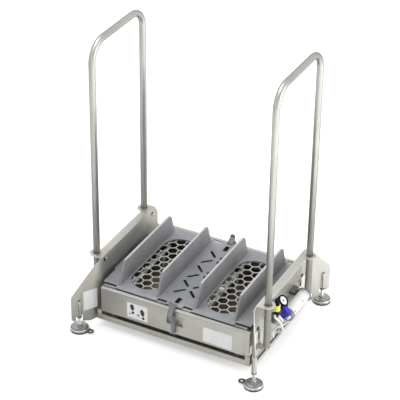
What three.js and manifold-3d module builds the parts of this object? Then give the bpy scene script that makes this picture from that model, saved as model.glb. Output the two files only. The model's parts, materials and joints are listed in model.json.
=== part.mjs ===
// A footwear sanitizing unit. A tread box with two boot bays floats on springs between two folded side plates.
// Stepping on it presses a foot valve, and an air-driven pump sprays the soles through honeycomb gratings.
// Millimetres, +Z up. The origin is on the floor under the middle of the unit. The user steps on from -Y.
import * as THREE from 'three';
import { mergeVertices } from 'three/addons/utils/BufferGeometryUtils.js';
import Module from 'manifold-3d';

const wasm = await Module();
wasm.setup();

// Fits
const gap = 0.3; // between faces that seat or run on each other
const overrun = 2; // how far a cutter passes beyond the face that it opens
const weld = 0.8; // how far a welded or moulded piece reaches into what it is joined to

// Tread box: the sizes that the rest of the unit is laid out from
const boxSheet = 2;
const boxHalfX = 300;
const boxHalfY = 255;
const boxBottom = 80;
const boxTop = 186.5;
const boxTopLip = 30;
const boxHem = 2.5; // how far the top lip's folded edge stands out from the panel
const boxBottomLip = 47;
const sideWallLip = 20;
const guidePinRadius = 3.7;
const guidePinHeadRadius = 6.5;
const guidePinHead = 3;
const panRim = 16;
const panDrainRadius = 9;
const pressTabReach = 16; // from the wall
const pressTabWidth = 20;
const pressTabThickness = 3;

// Side plates
const sheet = 3;
const sideClearance = 23.5; // from the box's side to each plate
const webInner = boxHalfX + sideClearance;
const webOuter = webInner + sheet;
const bendSetback = 23; // from the box's front back to the line where a nose bends outward
const bendReach = boxHalfY - bendSetback;
const plateBottom = 32;
const plateTop = 283;
const topFlange = 32.5; // from the inner face of the web
const footFlange = 16;
const footFlangeSetback = 18; // from the bend
const footFlangeReach = bendReach - footFlangeSetback;
const earRadius = 27;
const noseFlare = THREE.MathUtils.degToRad(30);
const noseLength = 120;
const noseShoulder = 8; // from the bend to where the top edge starts to fall
const noseTipTop = 157;
const noseTipBottom = 50;
const noseHeelRun = 38;
const noseHeelDrop = 7; // how far the lower edge dips below the web
const noseTopRound = 24;
const noseToeRound = 14;
const guideSetback = 51; // from the bend back to each upright guide slot
const guideReach = bendReach - guideSetback;
const guideSlotWidth = 8;
const guideSlotLength = 54;
const guideSlotDrop = 26.5; // from the box's top down to the slot's top
const guideSlotTop = boxTop - guideSlotDrop;
const guideSlotBottom = guideSlotTop - guideSlotLength;

// Levelling feet
const footRun = 86.7; // along the nose from the bend
const stemRadius = 6;
const stemTop = 118;
const sleeveRadius = 9.5;
const sleeveBottom = 66;
const sleeveTop = 133;
const footNutAcross = 19;
const footNutHeight = 8;
const footNotchMargin = 4; // round the lock nut, where the nose is cut away
const padRadius = 37;
const padBevel = 1.5;
const rubberHeight = 5.5;
const rimHeight = 3.4;
const cupWaistRadius = 33.6;
const cupWaistHeight = 2.2;
const cupTopRadius = 31.5;
const cupBandHeight = 3.6;
const cupShoulderRise = 3.4;
const cupCrownRise = 2.4; // from the shoulder to the foot of the boss
const domeBossRadius = 11;
const domeTop = 30;
const socketFloor = 12;
const lugReach = 48; // from the stem to the anchor hole
const lugRadius = 13;
const lugHoleRadius = 6;

// Handrails
const railTubeRadius = 12.7;
const railTubeWall = 1.7;
const railStandOff = 32.1; // from the web's outer face to the middle of each post
const railX = webOuter + railStandOff;
const railSetback = 49; // from the bend back to each post
const railY = bendReach - railSetback;
const railTop = 1150; // to the middle of the top bar
const railBend = 76;
const postBottom = 94;
const postFootTop = 102;
const postFootBottom = 77;
const postFootWidth = 28;
const postFootPlate = 3;
const postFootRib = 5;

// Lower cross rails
const crossRailSetback = 5; // behind the box's front
const crossRailFace = boxHalfY - crossRailSetback;
const crossRailBottom = 34;
const crossRailTop = 58;
const crossRailFlange = 50;
const crossRailEarTop = 78;
const crossRailEarWidth = 20;
const crossRailTabLength = 44;
const springInsetX = 38;
const springInsetY = 33;
const springX = boxHalfX - springInsetX;
const springY = boxHalfY - springInsetY;
const spigotRadius = 9;
const spigotHeight = 4;

// Springs
const springRadius = 13; // to the middle of the wire
const springWire = 3.2;
const springTurns = 5;

// Deck
const deckRise = 4.5; // above the box's top
const deckTop = boxTop + deckRise;
const deckThickness = 12;
const deckOverhang = 9; // beyond the box's sides
const deckInsetY = 36;
const deckHalfX = boxHalfX + deckOverhang;
const deckHalfY = boxHalfY - deckInsetY;
const sideWallTop = deckTop - deckThickness - gap;
const tongueInset = 17; // from the box's front back to the tongues' edges
const tongueReach = boxHalfY - tongueInset;
const sideTongueOverhang = 16;
const sideTongueReach = boxHalfX + sideTongueOverhang;
const sideTongueInset = 91;
const sideTongueHalf = deckHalfY - sideTongueInset;
const bayInset = 138.5; // from the box's side to the middle of each boot bay
const bayX = boxHalfX - bayInset;
const bayTongueHalf = 88;
const latchTongueHalf = 34;
const ovalRadius = 70;
const ovalInset = 31;
const ovalHalf = deckHalfY - ovalInset;
const ovalMiddleY = -8;
const meshLedge = 8;
const meshDrop = 5; // from the deck's face down to the grating
const meshTop = deckTop - meshDrop;
const meshThickness = 5;
const ventPitchShare = 0.511; // of the deck's half depth, between the crossed vent groups
const ventSlotShare = 0.571; // of that pitch, from the middle of a group to a slot's far end
const ventPitch = deckHalfY * ventPitchShare;
const ventSlotWidth = 11;
const ventSlotInner = 13; // from the middle of a group to a slot's near end
const ventSlotOuter = ventPitch * ventSlotShare;
const gripHoleInset = 21;
const gripHoleY = deckHalfY - gripHoleInset;
const gripHoleWidth = 18;
const gripHoleLength = 36;

// Honeycomb grating
const cellPitch = 40;
const cellWall = 2.2;
const meshBorder = 3.5;

// Dividers
const dividerSpread = 81.2; // from the middle of a bay
const dividerInnerX = bayX - dividerSpread;
const dividerOuterX = bayX + dividerSpread;
const dividerThickness = 9;
const dividerHeight = 89;
const dividerFrontInset = 2;
const dividerRearInset = 1;
const dividerFront = deckHalfY - dividerFrontInset;
const dividerRear = deckHalfY - dividerRearInset;
const dividerFrontSlope = 41;
const dividerRearSlope = 30;
const dividerFrontRound = 22;
const dividerRearRound = 20;

// Latches: each lever is hinged near the panel's lower edge, bows outward, and hooks over the deck at its top
const latchWidth = 20;
const latchPlate = 5;
const latchTopRise = 32; // above the deck
const latchTopOut = 6; // from the panel to the outer face of the hook
const latchKneeDrop = 14.5; // from the box's top down to the knee
const latchKneeOut = 27;
const latchHipRise = 8; // from the deck's face up to where the lever starts to bow
const latchTabRound = 8;
const latchNoseReach = 23; // from the panel inward over the deck's tongue
const latchNoseThickness = 6;
const latchLeanShare = -0.075; // of the height above the hinge, by which the plate stands aside
const latchHingeX = 11.4;
const latchHingeRise = 8; // above the panel's lower edge
const latchHingeOut = 6.5; // from the panel
const latchHingeZ = boxBottom + latchHingeRise;
const latchEyeRadius = 5.5;
const latchEyeWidth = 12;
const latchPinRadius = 3;
const latchEarThickness = 3;
const latchEarGap = 1; // on each side of the eye
const latchKneeHook = 8; // from the knee down to the edge that the fingers pull
const latchRibTopDrop = 27; // from the box's top down to the head of the rib
const latchNoseRise = 20; // height of the wedge behind the hook
const pocketTopDrop = 31.5; // from the box's top down to the finger pocket
const pocketTop = boxTop - pocketTopDrop;
const pocketHeight = 37;
const pocketBottom = pocketTop - pocketHeight;
const pocketLeft = 19; // from the middle of the panel
const pocketRight = 48.5;
const pocketDepth = 12;
const pocketSheet = 1.5;
const pocketLipReach = 5;
const pocketLipThickness = 2;

// Spray manifolds
const manifoldOffset = 74; // from the middle of a bay
const manifoldRadius = 7;
const manifoldDrop = 40.5; // from the box's top
const manifoldHeight = boxTop - manifoldDrop;
const manifoldFrontInset = 59;
const manifoldRearInset = 47;
const manifoldFront = deckHalfY - manifoldFrontInset;
const manifoldRear = deckHalfY - manifoldRearInset;
const nozzleFrontInset = 29; // from the manifold's front end
const nozzleRearInset = 21;
const nozzleCount = 4;
const nozzleLean = THREE.MathUtils.degToRad(22);
const nozzleLength = 31;
const nozzleRadius = 5.5;
const nozzleTipRadius = 3.5;
const nozzleTaper = 9;
const manifoldLegInset = 40;
const manifoldLegWidth = 10;

// Solution tank
const tankSideGap = 21.5; // from the tank to the middle of the manifold beside it
const tankHalfX = bayX - manifoldOffset - tankSideGap;
const tankEndInset = 71;
const tankHalfY = deckHalfY - tankEndInset;
const tankHeadroom = 40.5;
const tankHeight = boxTop - boxBottom - tankHeadroom;
const tankRound = 14;
const tankNeckRadius = 17;
const tankNeckHeight = 6;
const tankNeckInset = 53;
const tankNeckY = tankNeckInset - tankHalfY;
const tankCapRadius = 21;
const tankCapHeight = 13;

// Foot valve
const valveHalfY = 15;
const valveY = 4;
const valveDepth = 19;
const pressTabDrop = 66.5; // from the box's top down to the tab that presses the valve
const pressTabBottom = boxTop - pressTabDrop;
const valveHeadroom = 16;
const valveTop = pressTabBottom - valveHeadroom;
const valveHeight = 44;
const valveBoreDepth = 34;
const plungerRadius = 3;
const plungerDepth = 20; // how far the plunger reaches into the valve

// Shut-off valve with a sliding sleeve, over an air filter
const shutoffStandOff = 37.5; // from the web
const shutoffX = webOuter + shutoffStandOff;
const shutoffSetback = 67; // from the front post
const shutoffY = shutoffSetback - railY;
const shutoffBarrelRadius = 9;
const shutoffLength = 57;
const shutoffNutAcross = 17;
const shutoffNutHeight = 9;
const sleeveKnobRadius = 13;
const sleeveKnobLength = 24;
const sleeveKnobRise = 19; // above the filter's head
const sleeveKnobGroove = 1.4;
const filterDrop = 83; // from the plate's top down to the filter's head
const filterTop = plateTop - filterDrop;
const filterHead = 16;
const filterHeadInner = 20; // from the barrel's middle towards the plate
const filterBowlOffset = 9.5; // from the barrel's middle to the bowl's, towards the plate
const filterBowlRadius = 10.5;
const filterBowlLength = 26;
const filterBowlRound = 5;
const filterPipeRadius = 5;
const filterPipeDrop = 9; // from the head's top

// Air regulator, turned about its own long axis
const regulatorTilt = THREE.MathUtils.degToRad(45);
const regulatorStandOff = 45; // from the web
const regulatorX = webOuter + regulatorStandOff;
const regulatorDrop = 102.5; // from the plate's top
const regulatorZ = plateTop - regulatorDrop;
const regulatorSetback = 41; // behind the shut-off valve
const regulatorFront = shutoffY + regulatorSetback;
const regulatorDepth = 22;
const regulatorRear = regulatorFront + regulatorDepth;
const regulatorHalf = 20;
const regulatorCorner = 4;
const knobRadius = 9;
const knobLength = 11;
const knobFlutes = 8;
const knobFluteDepth = 1.2;
const gaugeSide = -41.7; // from the regulator's middle, across its tilted face
const gaugeRise = 25.5; // from the regulator's middle to the back of the case
const gaugeRadius = 21.6;
const gaugeBezelRadius = 22.8;
const gaugeBezelHeight = 7;
const gaugeDepth = 18;
const gaugeDialRadius = 19.6;
const gaugeDialDepth = 2.5;
const gaugeStemRadius = 5;
const needleRest = THREE.MathUtils.degToRad(-135); // from the dial's level to its zero mark
const needleLength = 14;
const needleTail = 5;
const needleWidth = 1.8;
const needleThickness = 0.8;
const needleHubRadius = 2.6;

// Pump cylinder
const pumpStandOff = 48.5; // from the web
const pumpX = webOuter + pumpStandOff;
const pumpDrop = 28.5; // below the regulator
const pumpZ = regulatorZ - pumpDrop;
const pumpRadius = 25;
const pumpSpacing = 7; // behind the regulator
const pumpFront = regulatorRear + pumpSpacing;
const pumpRearSetback = 71; // from the rear post
const pumpRear = railY - pumpRearSetback;
const pumpEndRound = 5;
const pumpCollarLength = 15;
const pumpCollarGroove = 1.2;
const pumpNeckRadius = 5;
const pumpNeckRise = 14; // above the pump's own middle
const pumpNeckZ = pumpZ + pumpNeckRise;
const saddleFrontShare = 0.32; // of the pump's length, from its front end
const saddleRearShare = 0.67;
const saddleThickness = 4;
const saddleHalfHeight = 17;
const saddleReach = 34; // from the web
const saddleBase = 3;

// Regulator bracket
const bracketThickness = 3;
const bracketReach = 54; // from the web
const bracketBelow = 6.5; // the regulator's middle
const bracketHeight = 32;
const bracketFoot = 28;

// Pilot block
const pilotDepth = 21;
const pilotOverlap = 34; // how far the block reaches forward beside the pump's rear end
const pilotBeyond = 10;
const pilotFront = pumpRear - pilotOverlap;
const pilotRear = pumpRear + pilotBeyond;
const pilotBelow = 12; // the pump's middle
const pilotHeight = 48;

// Air tubing
const tubingRadius = 4;
const tubingLead = 6; // each straight stretch of tubing outside a hole in the side plate
const signalDrop = 40; // from the valve's top down to its signal hole
const sprayHoleY = -84;
const sprayHoleZ = 64;
const spraySetback = 13; // behind the pump's front end
const pilotBulge = 20; // how far the pilot line's bend stands out behind
// Each station of a line, as shares of the way between its two ends along X, Y and Z
const signalShares = [
  [-0.22, 0.07, 0.12], [-0.08, 0.2, 0.31], [0.18, 0.31, 0.4], [0.49, 0.69, 0.73],
];
const sprayShares = [
  [0.14, 0.22, 0.23], [0.39, 0.65, 0.28], [0.64, 1.08, 0.35], [0.66, 1.24, 0.6], [0.56, 1.12, 0.86],
];
const pilotShares = [0.2, 0.5, 0.8];

// How finely round things are cut
const roundSides = 16;
const bigRoundSides = 24;
const padSides = 16;
const smallSides = 12;
const tubingSides = 8;
const wireSides = 5;
const wireStepsPerTurn = 8;
const cornerStep = THREE.MathUtils.degToRad(24);

// Materials
const metal = (color, roughness) => new THREE.MeshStandardMaterial({ color, roughness, metalness: 1 });
const plastic = (color, roughness) => new THREE.MeshStandardMaterial({ color, roughness, metalness: 0 });
const stainless = metal(0xc4c2ba, 0.42);
const brightSteel = metal(0xd2d2d0, 0.28);
const springSteel = metal(0x8e8f90, 0.4);
const deckPolymer = plastic(0x8f9296, 0.6);
const dividerPolymer = plastic(0x77797c, 0.6);
const latchPolymer = plastic(0x808386, 0.6);
const rubber = plastic(0x2b2b2b, 0.85);
const whitePolymer = plastic(0xe8e8e4, 0.4);
const clearTubing = plastic(0xe4e6e8, 0.3);
const tankPolymer = plastic(0xdedfd8, 0.55);
const valveGrey = plastic(0x4b4d50, 0.55);
const regulatorBlue = plastic(0x3f3fa2, 0.4);
const sleeveYellow = plastic(0xe0dc5a, 0.45);
const gaugeBlack = plastic(0x1d1d1f, 0.4);

// Solids: a closed geometry becomes a solid that can be joined and cut, and comes back as one
function solid(geometry) {
  const bare = new THREE.BufferGeometry();
  bare.setAttribute('position', geometry.getAttribute('position'));
  if (geometry.index) bare.setIndex(geometry.index);
  const merged = mergeVertices(bare);
  const vertProperties = merged.attributes.position.array;
  const triVerts = new Uint32Array(merged.index.array);
  return new wasm.Manifold(new wasm.Mesh({ numProp: 3, vertProperties, triVerts }));
}

function geometryOf(body) {
  const { vertProperties, triVerts } = body.getMesh();
  const geometry = new THREE.BufferGeometry();
  geometry.setAttribute('position', new THREE.BufferAttribute(new Float32Array(vertProperties), 3));
  geometry.setIndex(new THREE.BufferAttribute(new Uint32Array(triVerts), 1));
  geometry.computeVertexNormals();
  return geometry;
}

const join = (...geometries) => geometryOf(geometries.map(solid).reduce((whole, piece) => whole.add(piece)));
const cut = (geometry, ...cutters) =>
  geometryOf(cutters.map(solid).reduce((whole, cutter) => whole.subtract(cutter), solid(geometry)));
const common = (geometry, other) => geometryOf(solid(geometry).intersect(solid(other)));

// Turned half round about the upright axis, as the rear copy of a front piece
const halfTurn = (geometry) => geometry.clone().rotateZ(Math.PI);

// The left-hand copy of a right-hand piece
function mirrored(geometry) {
  const copy = geometry.clone().scale(-1, 1, 1);
  const index = Array.from(copy.index.array);
  for (let i = 0; i < index.length; i += 3) [index[i + 1], index[i + 2]] = [index[i + 2], index[i + 1]];
  copy.setIndex(index);
  copy.computeVertexNormals();
  return copy;
}

// Simple forms
function block([x0, x1], [y0, y1], [z0, z1]) {
  const box = new THREE.BoxGeometry(x1 - x0, y1 - y0, z1 - z0);
  return box.translate((x0 + x1) / 2, (y0 + y1) / 2, (z0 + z1) / 2);
}

// A shape drawn in the plane square to an axis, and extruded along that axis between two places
const planes = {
  x: new THREE.Matrix4().makeBasis(
    new THREE.Vector3(0, 1, 0), new THREE.Vector3(0, 0, 1), new THREE.Vector3(1, 0, 0)),
  y: new THREE.Matrix4().makeBasis(
    new THREE.Vector3(1, 0, 0), new THREE.Vector3(0, 0, 1), new THREE.Vector3(0, -1, 0)),
  z: new THREE.Matrix4(),
};

function prism(shape, axis, [from, to]) {
  const geometry = new THREE.ExtrudeGeometry(shape, { depth: to - from, bevelEnabled: false, curveSegments: 1 });
  geometry.applyMatrix4(planes[axis]);
  if (axis === 'x') return geometry.translate(from, 0, 0);
  if (axis === 'y') return geometry.translate(0, to, 0);
  return geometry.translate(0, 0, from);
}

// An outline of corners [x, y, round], each rounded by its own radius
function outline(corners) {
  const points = [];
  corners.forEach(([x, y, round = 0], i) => {
    const corner = new THREE.Vector2(x, y);
    if (!round) {
      points.push(corner);
      return;
    }
    const [bx, by] = corners[(i + corners.length - 1) % corners.length];
    const [ax, ay] = corners[(i + 1) % corners.length];
    const before = new THREE.Vector2(bx, by).sub(corner).normalize();
    const after = new THREE.Vector2(ax, ay).sub(corner).normalize();
    const half = before.angleTo(after) / 2;
    const middle = before.clone().add(after).normalize().multiplyScalar(round / Math.sin(half)).add(corner);
    const start = corner.clone().addScaledVector(before, round / Math.tan(half)).sub(middle);
    const sweep = Math.PI - 2 * half;
    const turn = Math.sign(before.cross(after)) * -1;
    const steps = Math.max(2, Math.ceil(sweep / cornerStep));
    for (let step = 0; step <= steps; step += 1) {
      points.push(start.clone().rotateAround(new THREE.Vector2(), (turn * sweep * step) / steps).add(middle));
    }
  });
  return new THREE.Shape(points);
}

const rectangle = ([x0, x1], [y0, y1], round = 0) =>
  outline([[x0, y0, round], [x1, y0, round], [x1, y1, round], [x0, y1, round]]);

function circlePoints(radius, sides, x = 0, y = 0, phase = 0) {
  return Array.from({ length: sides }, (_, i) => {
    const angle = phase + (2 * Math.PI * i) / sides;
    return new THREE.Vector2(x + radius * Math.cos(angle), y + radius * Math.sin(angle));
  });
}

const disc = (radius, sides, x = 0, y = 0, phase = 0) => new THREE.Shape(circlePoints(radius, sides, x, y, phase));

// A slot or oval with round ends, from one end's centre to the other's
function oval(x0, y0, x1, y1, radius, sides) {
  const along = Math.atan2(y1 - y0, x1 - x0);
  const points = [];
  [[x1, y1, -Math.PI / 2], [x0, y0, Math.PI / 2]].forEach(([x, y, first]) => {
    for (let i = 0; i <= sides / 2; i += 1) {
      const angle = along + first + (2 * Math.PI * i) / sides;
      points.push(new THREE.Vector2(x + radius * Math.cos(angle), y + radius * Math.sin(angle)));
    }
  });
  return new THREE.Shape(points);
}

const rod = (radius, x, y, ends, sides = roundSides, axis = 'z') => prism(disc(radius, sides, x, y), axis, ends);

function nut(across, height, boreRadius) {
  const shape = disc(across / Math.sqrt(3), 6);
  shape.holes.push(new THREE.Path(circlePoints(boreRadius, roundSides)));
  return prism(shape, 'z', [0, height]);
}

// A turned form, from a profile of [radius, height] that starts and ends on the axis
function turned(profile, sides) {
  const lathe = new THREE.LatheGeometry(profile.map(([radius, height]) => new THREE.Vector2(radius, height)), sides);
  return lathe.rotateX(Math.PI / 2);
}

// A curve that gives just the stations and directions that a swept form is cut at
class Route extends THREE.Curve {
  constructor(stations, directions) {
    super();
    this.stations = stations;
    this.directions = directions;
  }
  at(list, u) {
    return list[Math.round(u * (list.length - 1))].clone();
  }
  getPointAt(u) {
    return this.at(this.stations, u);
  }
  getPoint(u) {
    return this.at(this.stations, u);
  }
  getTangentAt(u) {
    return this.at(this.directions, u);
  }
}

function sweep(route, shape) {
  return new THREE.ExtrudeGeometry(shape, { extrudePath: route, steps: route.stations.length - 1, curveSegments: 1 });
}

// Straight runs between corners, with a bend of one radius at each corner
function bentRoute(corners, radius, steps) {
  const stations = [corners[0]];
  const directions = [corners[1].clone().sub(corners[0]).normalize()];
  for (let i = 1; i < corners.length - 1; i += 1) {
    const before = corners[i - 1].clone().sub(corners[i]).normalize();
    const after = corners[i + 1].clone().sub(corners[i]).normalize();
    const half = before.angleTo(after) / 2;
    const middle = before.clone().add(after).normalize().multiplyScalar(radius / Math.sin(half)).add(corners[i]);
    const start = corners[i].clone().addScaledVector(before, radius / Math.tan(half)).sub(middle);
    const axis = after.clone().cross(before).normalize();
    for (let step = 0; step <= steps; step += 1) {
      const spoke = start.clone().applyAxisAngle(axis, ((Math.PI - 2 * half) * step) / steps);
      stations.push(spoke.clone().add(middle));
      directions.push(axis.clone().cross(spoke).normalize());
    }
  }
  stations.push(corners.at(-1));
  directions.push(corners.at(-1).clone().sub(corners.at(-2)).normalize());
  return new Route(stations, directions);
}

// Air tubing through a list of points, straight at both ends
function tubing(points) {
  const curve = new THREE.CatmullRomCurve3(points, false, 'centripetal');
  const steps = Math.round(curve.getLength() / (4 * tubingRadius));
  const stations = curve.getSpacedPoints(steps);
  const directions = stations.map((_, i) => curve.getTangentAt(i / steps));
  return sweep(new Route(stations, directions), disc(tubingRadius, tubingSides));
}

// The part, and what each piece of it needs
const unit = new THREE.Group();
unit.name = 'footwear_sanitizing_unit';

function place(name, geometry, material, parent = unit) {
  const mesh = new THREE.Mesh(geometry, material);
  mesh.name = name;
  parent.add(mesh);
  return mesh;
}

const footX = webInner + footRun * Math.sin(noseFlare) + (sheet / 2) * Math.cos(noseFlare);
const footY = bendReach + footRun * Math.cos(noseFlare) - (sheet / 2) * Math.sin(noseFlare);
const boreRadius = stemRadius + gap;
const corners = [['front_left', -1, -1], ['front_right', 1, -1], ['rear_left', -1, 1], ['rear_right', 1, 1]];

// Side plates: a web with a nose bent out at each end, flanges, guide slots and welded sleeves for the feet
function noseOutline(end) {
  const shape = outline([
    [-overrun, plateBottom], [0, plateBottom],
    [noseHeelRun, plateBottom - noseHeelDrop, noseToeRound],
    [noseLength, noseTipBottom, noseToeRound],
    [noseLength, noseTipTop, noseTopRound],
    [noseShoulder, plateTop], [-overrun, plateTop],
  ]);
  const reach = footFlange + topFlange;
  const slab = new THREE.ExtrudeGeometry(shape, { depth: 2 * reach, bevelEnabled: false });
  slab.translate(0, 0, -reach);
  const along = new THREE.Vector3(Math.sin(noseFlare), end * Math.cos(noseFlare), 0);
  const up = new THREE.Vector3(0, 0, 1);
  slab.applyMatrix4(new THREE.Matrix4().makeBasis(along, up, along.clone().cross(up)));
  return slab.translate(webInner, end * bendReach, 0);
}

function foldedStrip() {
  const spread = noseLength + overrun;
  const tipX = webInner + spread * Math.sin(noseFlare);
  const tipY = bendReach + spread * Math.cos(noseFlare);
  const mitre = sheet * Math.tan(noseFlare / 2);
  const outX = sheet * Math.cos(noseFlare);
  const outY = sheet * Math.sin(noseFlare);
  return new THREE.Shape([
    new THREE.Vector2(webInner, -bendReach), new THREE.Vector2(tipX, -tipY),
    new THREE.Vector2(tipX + outX, -tipY + outY), new THREE.Vector2(webOuter, -bendReach + mitre),
    new THREE.Vector2(webOuter, bendReach - mitre), new THREE.Vector2(tipX + outX, tipY - outY),
    new THREE.Vector2(tipX, tipY), new THREE.Vector2(webInner, bendReach),
  ]);
}

function sidePlate(holes) {
  const strip = prism(foldedStrip(), 'z', [plateBottom - noseHeelDrop - overrun, plateTop + overrun]);
  const web = block([webInner - overrun, webOuter + overrun], [-bendReach, bendReach], [plateBottom, plateTop]);
  const ears = [-railY, railY].map((y) => rod(earRadius, railX, y, [plateTop - sheet, plateTop], bigRoundSides));
  const sleeves = [-footY, footY].map((y) => rod(sleeveRadius, footX, y, [sleeveBottom, sleeveTop]));
  const blank = join(
    common(strip, join(noseOutline(-1), web, noseOutline(1))),
    block([webInner, webInner + topFlange], [-railY - earRadius, railY + earRadius], [plateTop - sheet, plateTop]),
    block([webInner, webInner + footFlange], [-footFlangeReach, footFlangeReach], [plateBottom, plateBottom + sheet]),
    ...ears,
    ...sleeves,
  );
  const notchHalf = footNutAcross / Math.sqrt(3) + footNotchMargin;
  const cutters = [];
  [-1, 1].forEach((end) => {
    const slotRound = guideSlotWidth / 2;
    const slot = oval(end * guideReach, guideSlotBottom + slotRound, end * guideReach, guideSlotTop - slotRound,
      slotRound, smallSides);
    cutters.push(
      rod(railTubeRadius + gap, railX, end * railY, [plateTop - sheet - overrun, plateTop + overrun], bigRoundSides),
      prism(slot, 'x', [webInner - overrun, webOuter + overrun]),
      rod(boreRadius, footX, end * footY, [sleeveBottom - overrun, sleeveTop + overrun]),
      rod(notchHalf, footX, end * footY, [plateBottom - noseHeelDrop - overrun, sleeveBottom]),
    );
  });
  return cut(blank, ...cutters, ...holes);
}

const tubingHole = (y, z) =>
  prism(disc(tubingRadius + gap, smallSides, y, z), 'x', [webInner - overrun, webOuter + overrun]);
place('side_plate_left', mirrored(sidePlate([])), stainless);
const signalHoleZ = valveTop - signalDrop;
const lineHoles = [tubingHole(valveY, signalHoleZ), tubingHole(sprayHoleY, sprayHoleZ)];
place('side_plate_right', sidePlate(lineHoles), stainless);

// Handrails: one bent tube each, with a foot plate and rib welded to each post
function handrail() {
  const path = [
    [railX, -railY, postBottom], [railX, -railY, railTop], [railX, railY, railTop], [railX, railY, postBottom],
  ].map((point) => new THREE.Vector3(...point));
  const section = disc(railTubeRadius, roundSides);
  section.holes.push(new THREE.Path(circlePoints(railTubeRadius - railTubeWall, smallSides)));
  const tube = sweep(bentRoute(path, railBend, 7), section);
  const feet = [-railY, railY].flatMap((y) => [
    block([webOuter + gap, webOuter + gap + postFootPlate], [y - postFootWidth / 2, y + postFootWidth / 2],
      [postFootBottom, postFootTop]),
    block([webOuter + gap + weld, railX - railTubeRadius + weld], [y - postFootRib / 2, y + postFootRib / 2],
      [postFootBottom, postFootTop]),
  ]);
  return join(tube, ...feet);
}
place('handrail_left', mirrored(handrail()), stainless);
place('handrail_right', handrail(), stainless);

// Lower cross rails: an angle with an ear and a folded tab at each end, and a spigot for each spring
function crossRail() {
  const end = webInner - gap;
  const inner = crossRailFace - sheet;
  const pieces = [
    block([-end, end], [-crossRailFace, -inner], [crossRailBottom, crossRailTop]),
    block([-end, end], [-crossRailFace, -crossRailFace + crossRailFlange], [crossRailBottom, crossRailBottom + sheet]),
  ];
  [[-end, -1], [end, 1]].forEach(([x, side]) => {
    const span = (depth) => [x - side * depth, x].sort((a, b) => a - b);
    pieces.push(
      block(span(crossRailEarWidth), [-crossRailFace, -inner], [crossRailBottom, crossRailEarTop]),
      block(span(sheet), [-crossRailFace, -crossRailFace + crossRailTabLength], [crossRailBottom, crossRailEarTop]),
      rod(spigotRadius, side * springX, -springY, [crossRailBottom, crossRailBottom + sheet + spigotHeight]),
    );
  });
  return join(...pieces);
}
place('front_cross_rail', crossRail(), stainless);
place('rear_cross_rail', halfTurn(crossRail()), stainless);

// Levelling feet: a rubber pad under a two-tier cup with an anchor lug, a stem and a lock nut
function footCup(inward) {
  const base = rubberHeight + gap;
  const rim = base + rimHeight;
  const band = rim + cupWaistHeight;
  const shoulder = band + cupBandHeight + cupShoulderRise;
  const cup = turned([
    [0, base], [padRadius, base], [padRadius, rim], [cupWaistRadius, rim], [cupWaistRadius, band],
    [cupWaistRadius + weld, band], [cupWaistRadius + weld, band + cupBandHeight], [cupTopRadius, shoulder],
    [domeBossRadius, shoulder + cupCrownRise], [domeBossRadius, domeTop - padBevel],
    [domeBossRadius - padBevel, domeTop], [boreRadius, domeTop], [boreRadius, socketFloor], [0, socketFloor],
  ], padSides);
  const lug = oval(inward * (padRadius - lugRadius), 0, inward * lugReach, 0, lugRadius, roundSides);
  const tab = prism(lug, 'z', [base, rim]);
  const socket = rod(boreRadius, 0, 0, [socketFloor, domeTop + overrun]);
  const hole = rod(lugHoleRadius, inward * lugReach, 0, [base - overrun, rim + overrun], smallSides);
  return cut(join(cup, tab), socket, hole);
}
corners.forEach(([where, sideX, sideY]) => {
  const foot = new THREE.Group();
  foot.position.set(sideX * footX, sideY * footY, 0);
  unit.add(foot);
  const pad = turned([
    [0, 0], [padRadius - padBevel, 0], [padRadius, padBevel], [padRadius, rubberHeight - padBevel],
    [padRadius - padBevel, rubberHeight], [0, rubberHeight],
  ], padSides);
  place(`foot_pad_${where}`, pad, rubber, foot);
  place(`foot_cup_${where}`, footCup(-sideX), brightSteel, foot);
  place(`foot_stem_${where}`, rod(stemRadius, 0, 0, [socketFloor + gap, stemTop], smallSides), brightSteel, foot);
  const lockNut = place(`foot_lock_nut_${where}`, nut(footNutAcross, footNutHeight, boreRadius), brightSteel, foot);
  lockNut.position.z = sleeveBottom - gap - footNutHeight;
});

// Springs: one open coil of wire between each cross rail and the tread box
function spring() {
  const bottom = crossRailBottom + sheet + gap + springWire / 2;
  const top = boxBottom - gap - springWire / 2;
  const steps = springTurns * wireStepsPerTurn;
  const stations = [];
  const directions = [];
  for (let i = 0; i <= steps; i += 1) {
    const angle = (2 * Math.PI * springTurns * i) / steps;
    stations.push(new THREE.Vector3(
      springRadius * Math.cos(angle), springRadius * Math.sin(angle), bottom + ((top - bottom) * i) / steps));
    directions.push(new THREE.Vector3(
      -springRadius * Math.sin(angle), springRadius * Math.cos(angle),
      (top - bottom) / (2 * Math.PI * springTurns)).normalize());
  }
  const route = new Route(stations, directions);
  let least = Infinity;
  stations.forEach((a, i) => stations.slice(i + wireStepsPerTurn - 1).forEach((b) => {
    least = Math.min(least, a.distanceTo(b) - springWire);
  }));
  return { geometry: sweep(route, disc(springWire / 2, wireSides)), least };
}
const coil = spring();
console.log(`least gap of a spring's wire to itself: ${coil.least.toFixed(2)} mm`);
corners.forEach(([where, sideX, sideY]) => {
  place(`spring_${where}`, coil.geometry, springSteel).position.set(sideX * springX, sideY * springY, 0);
});

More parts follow.
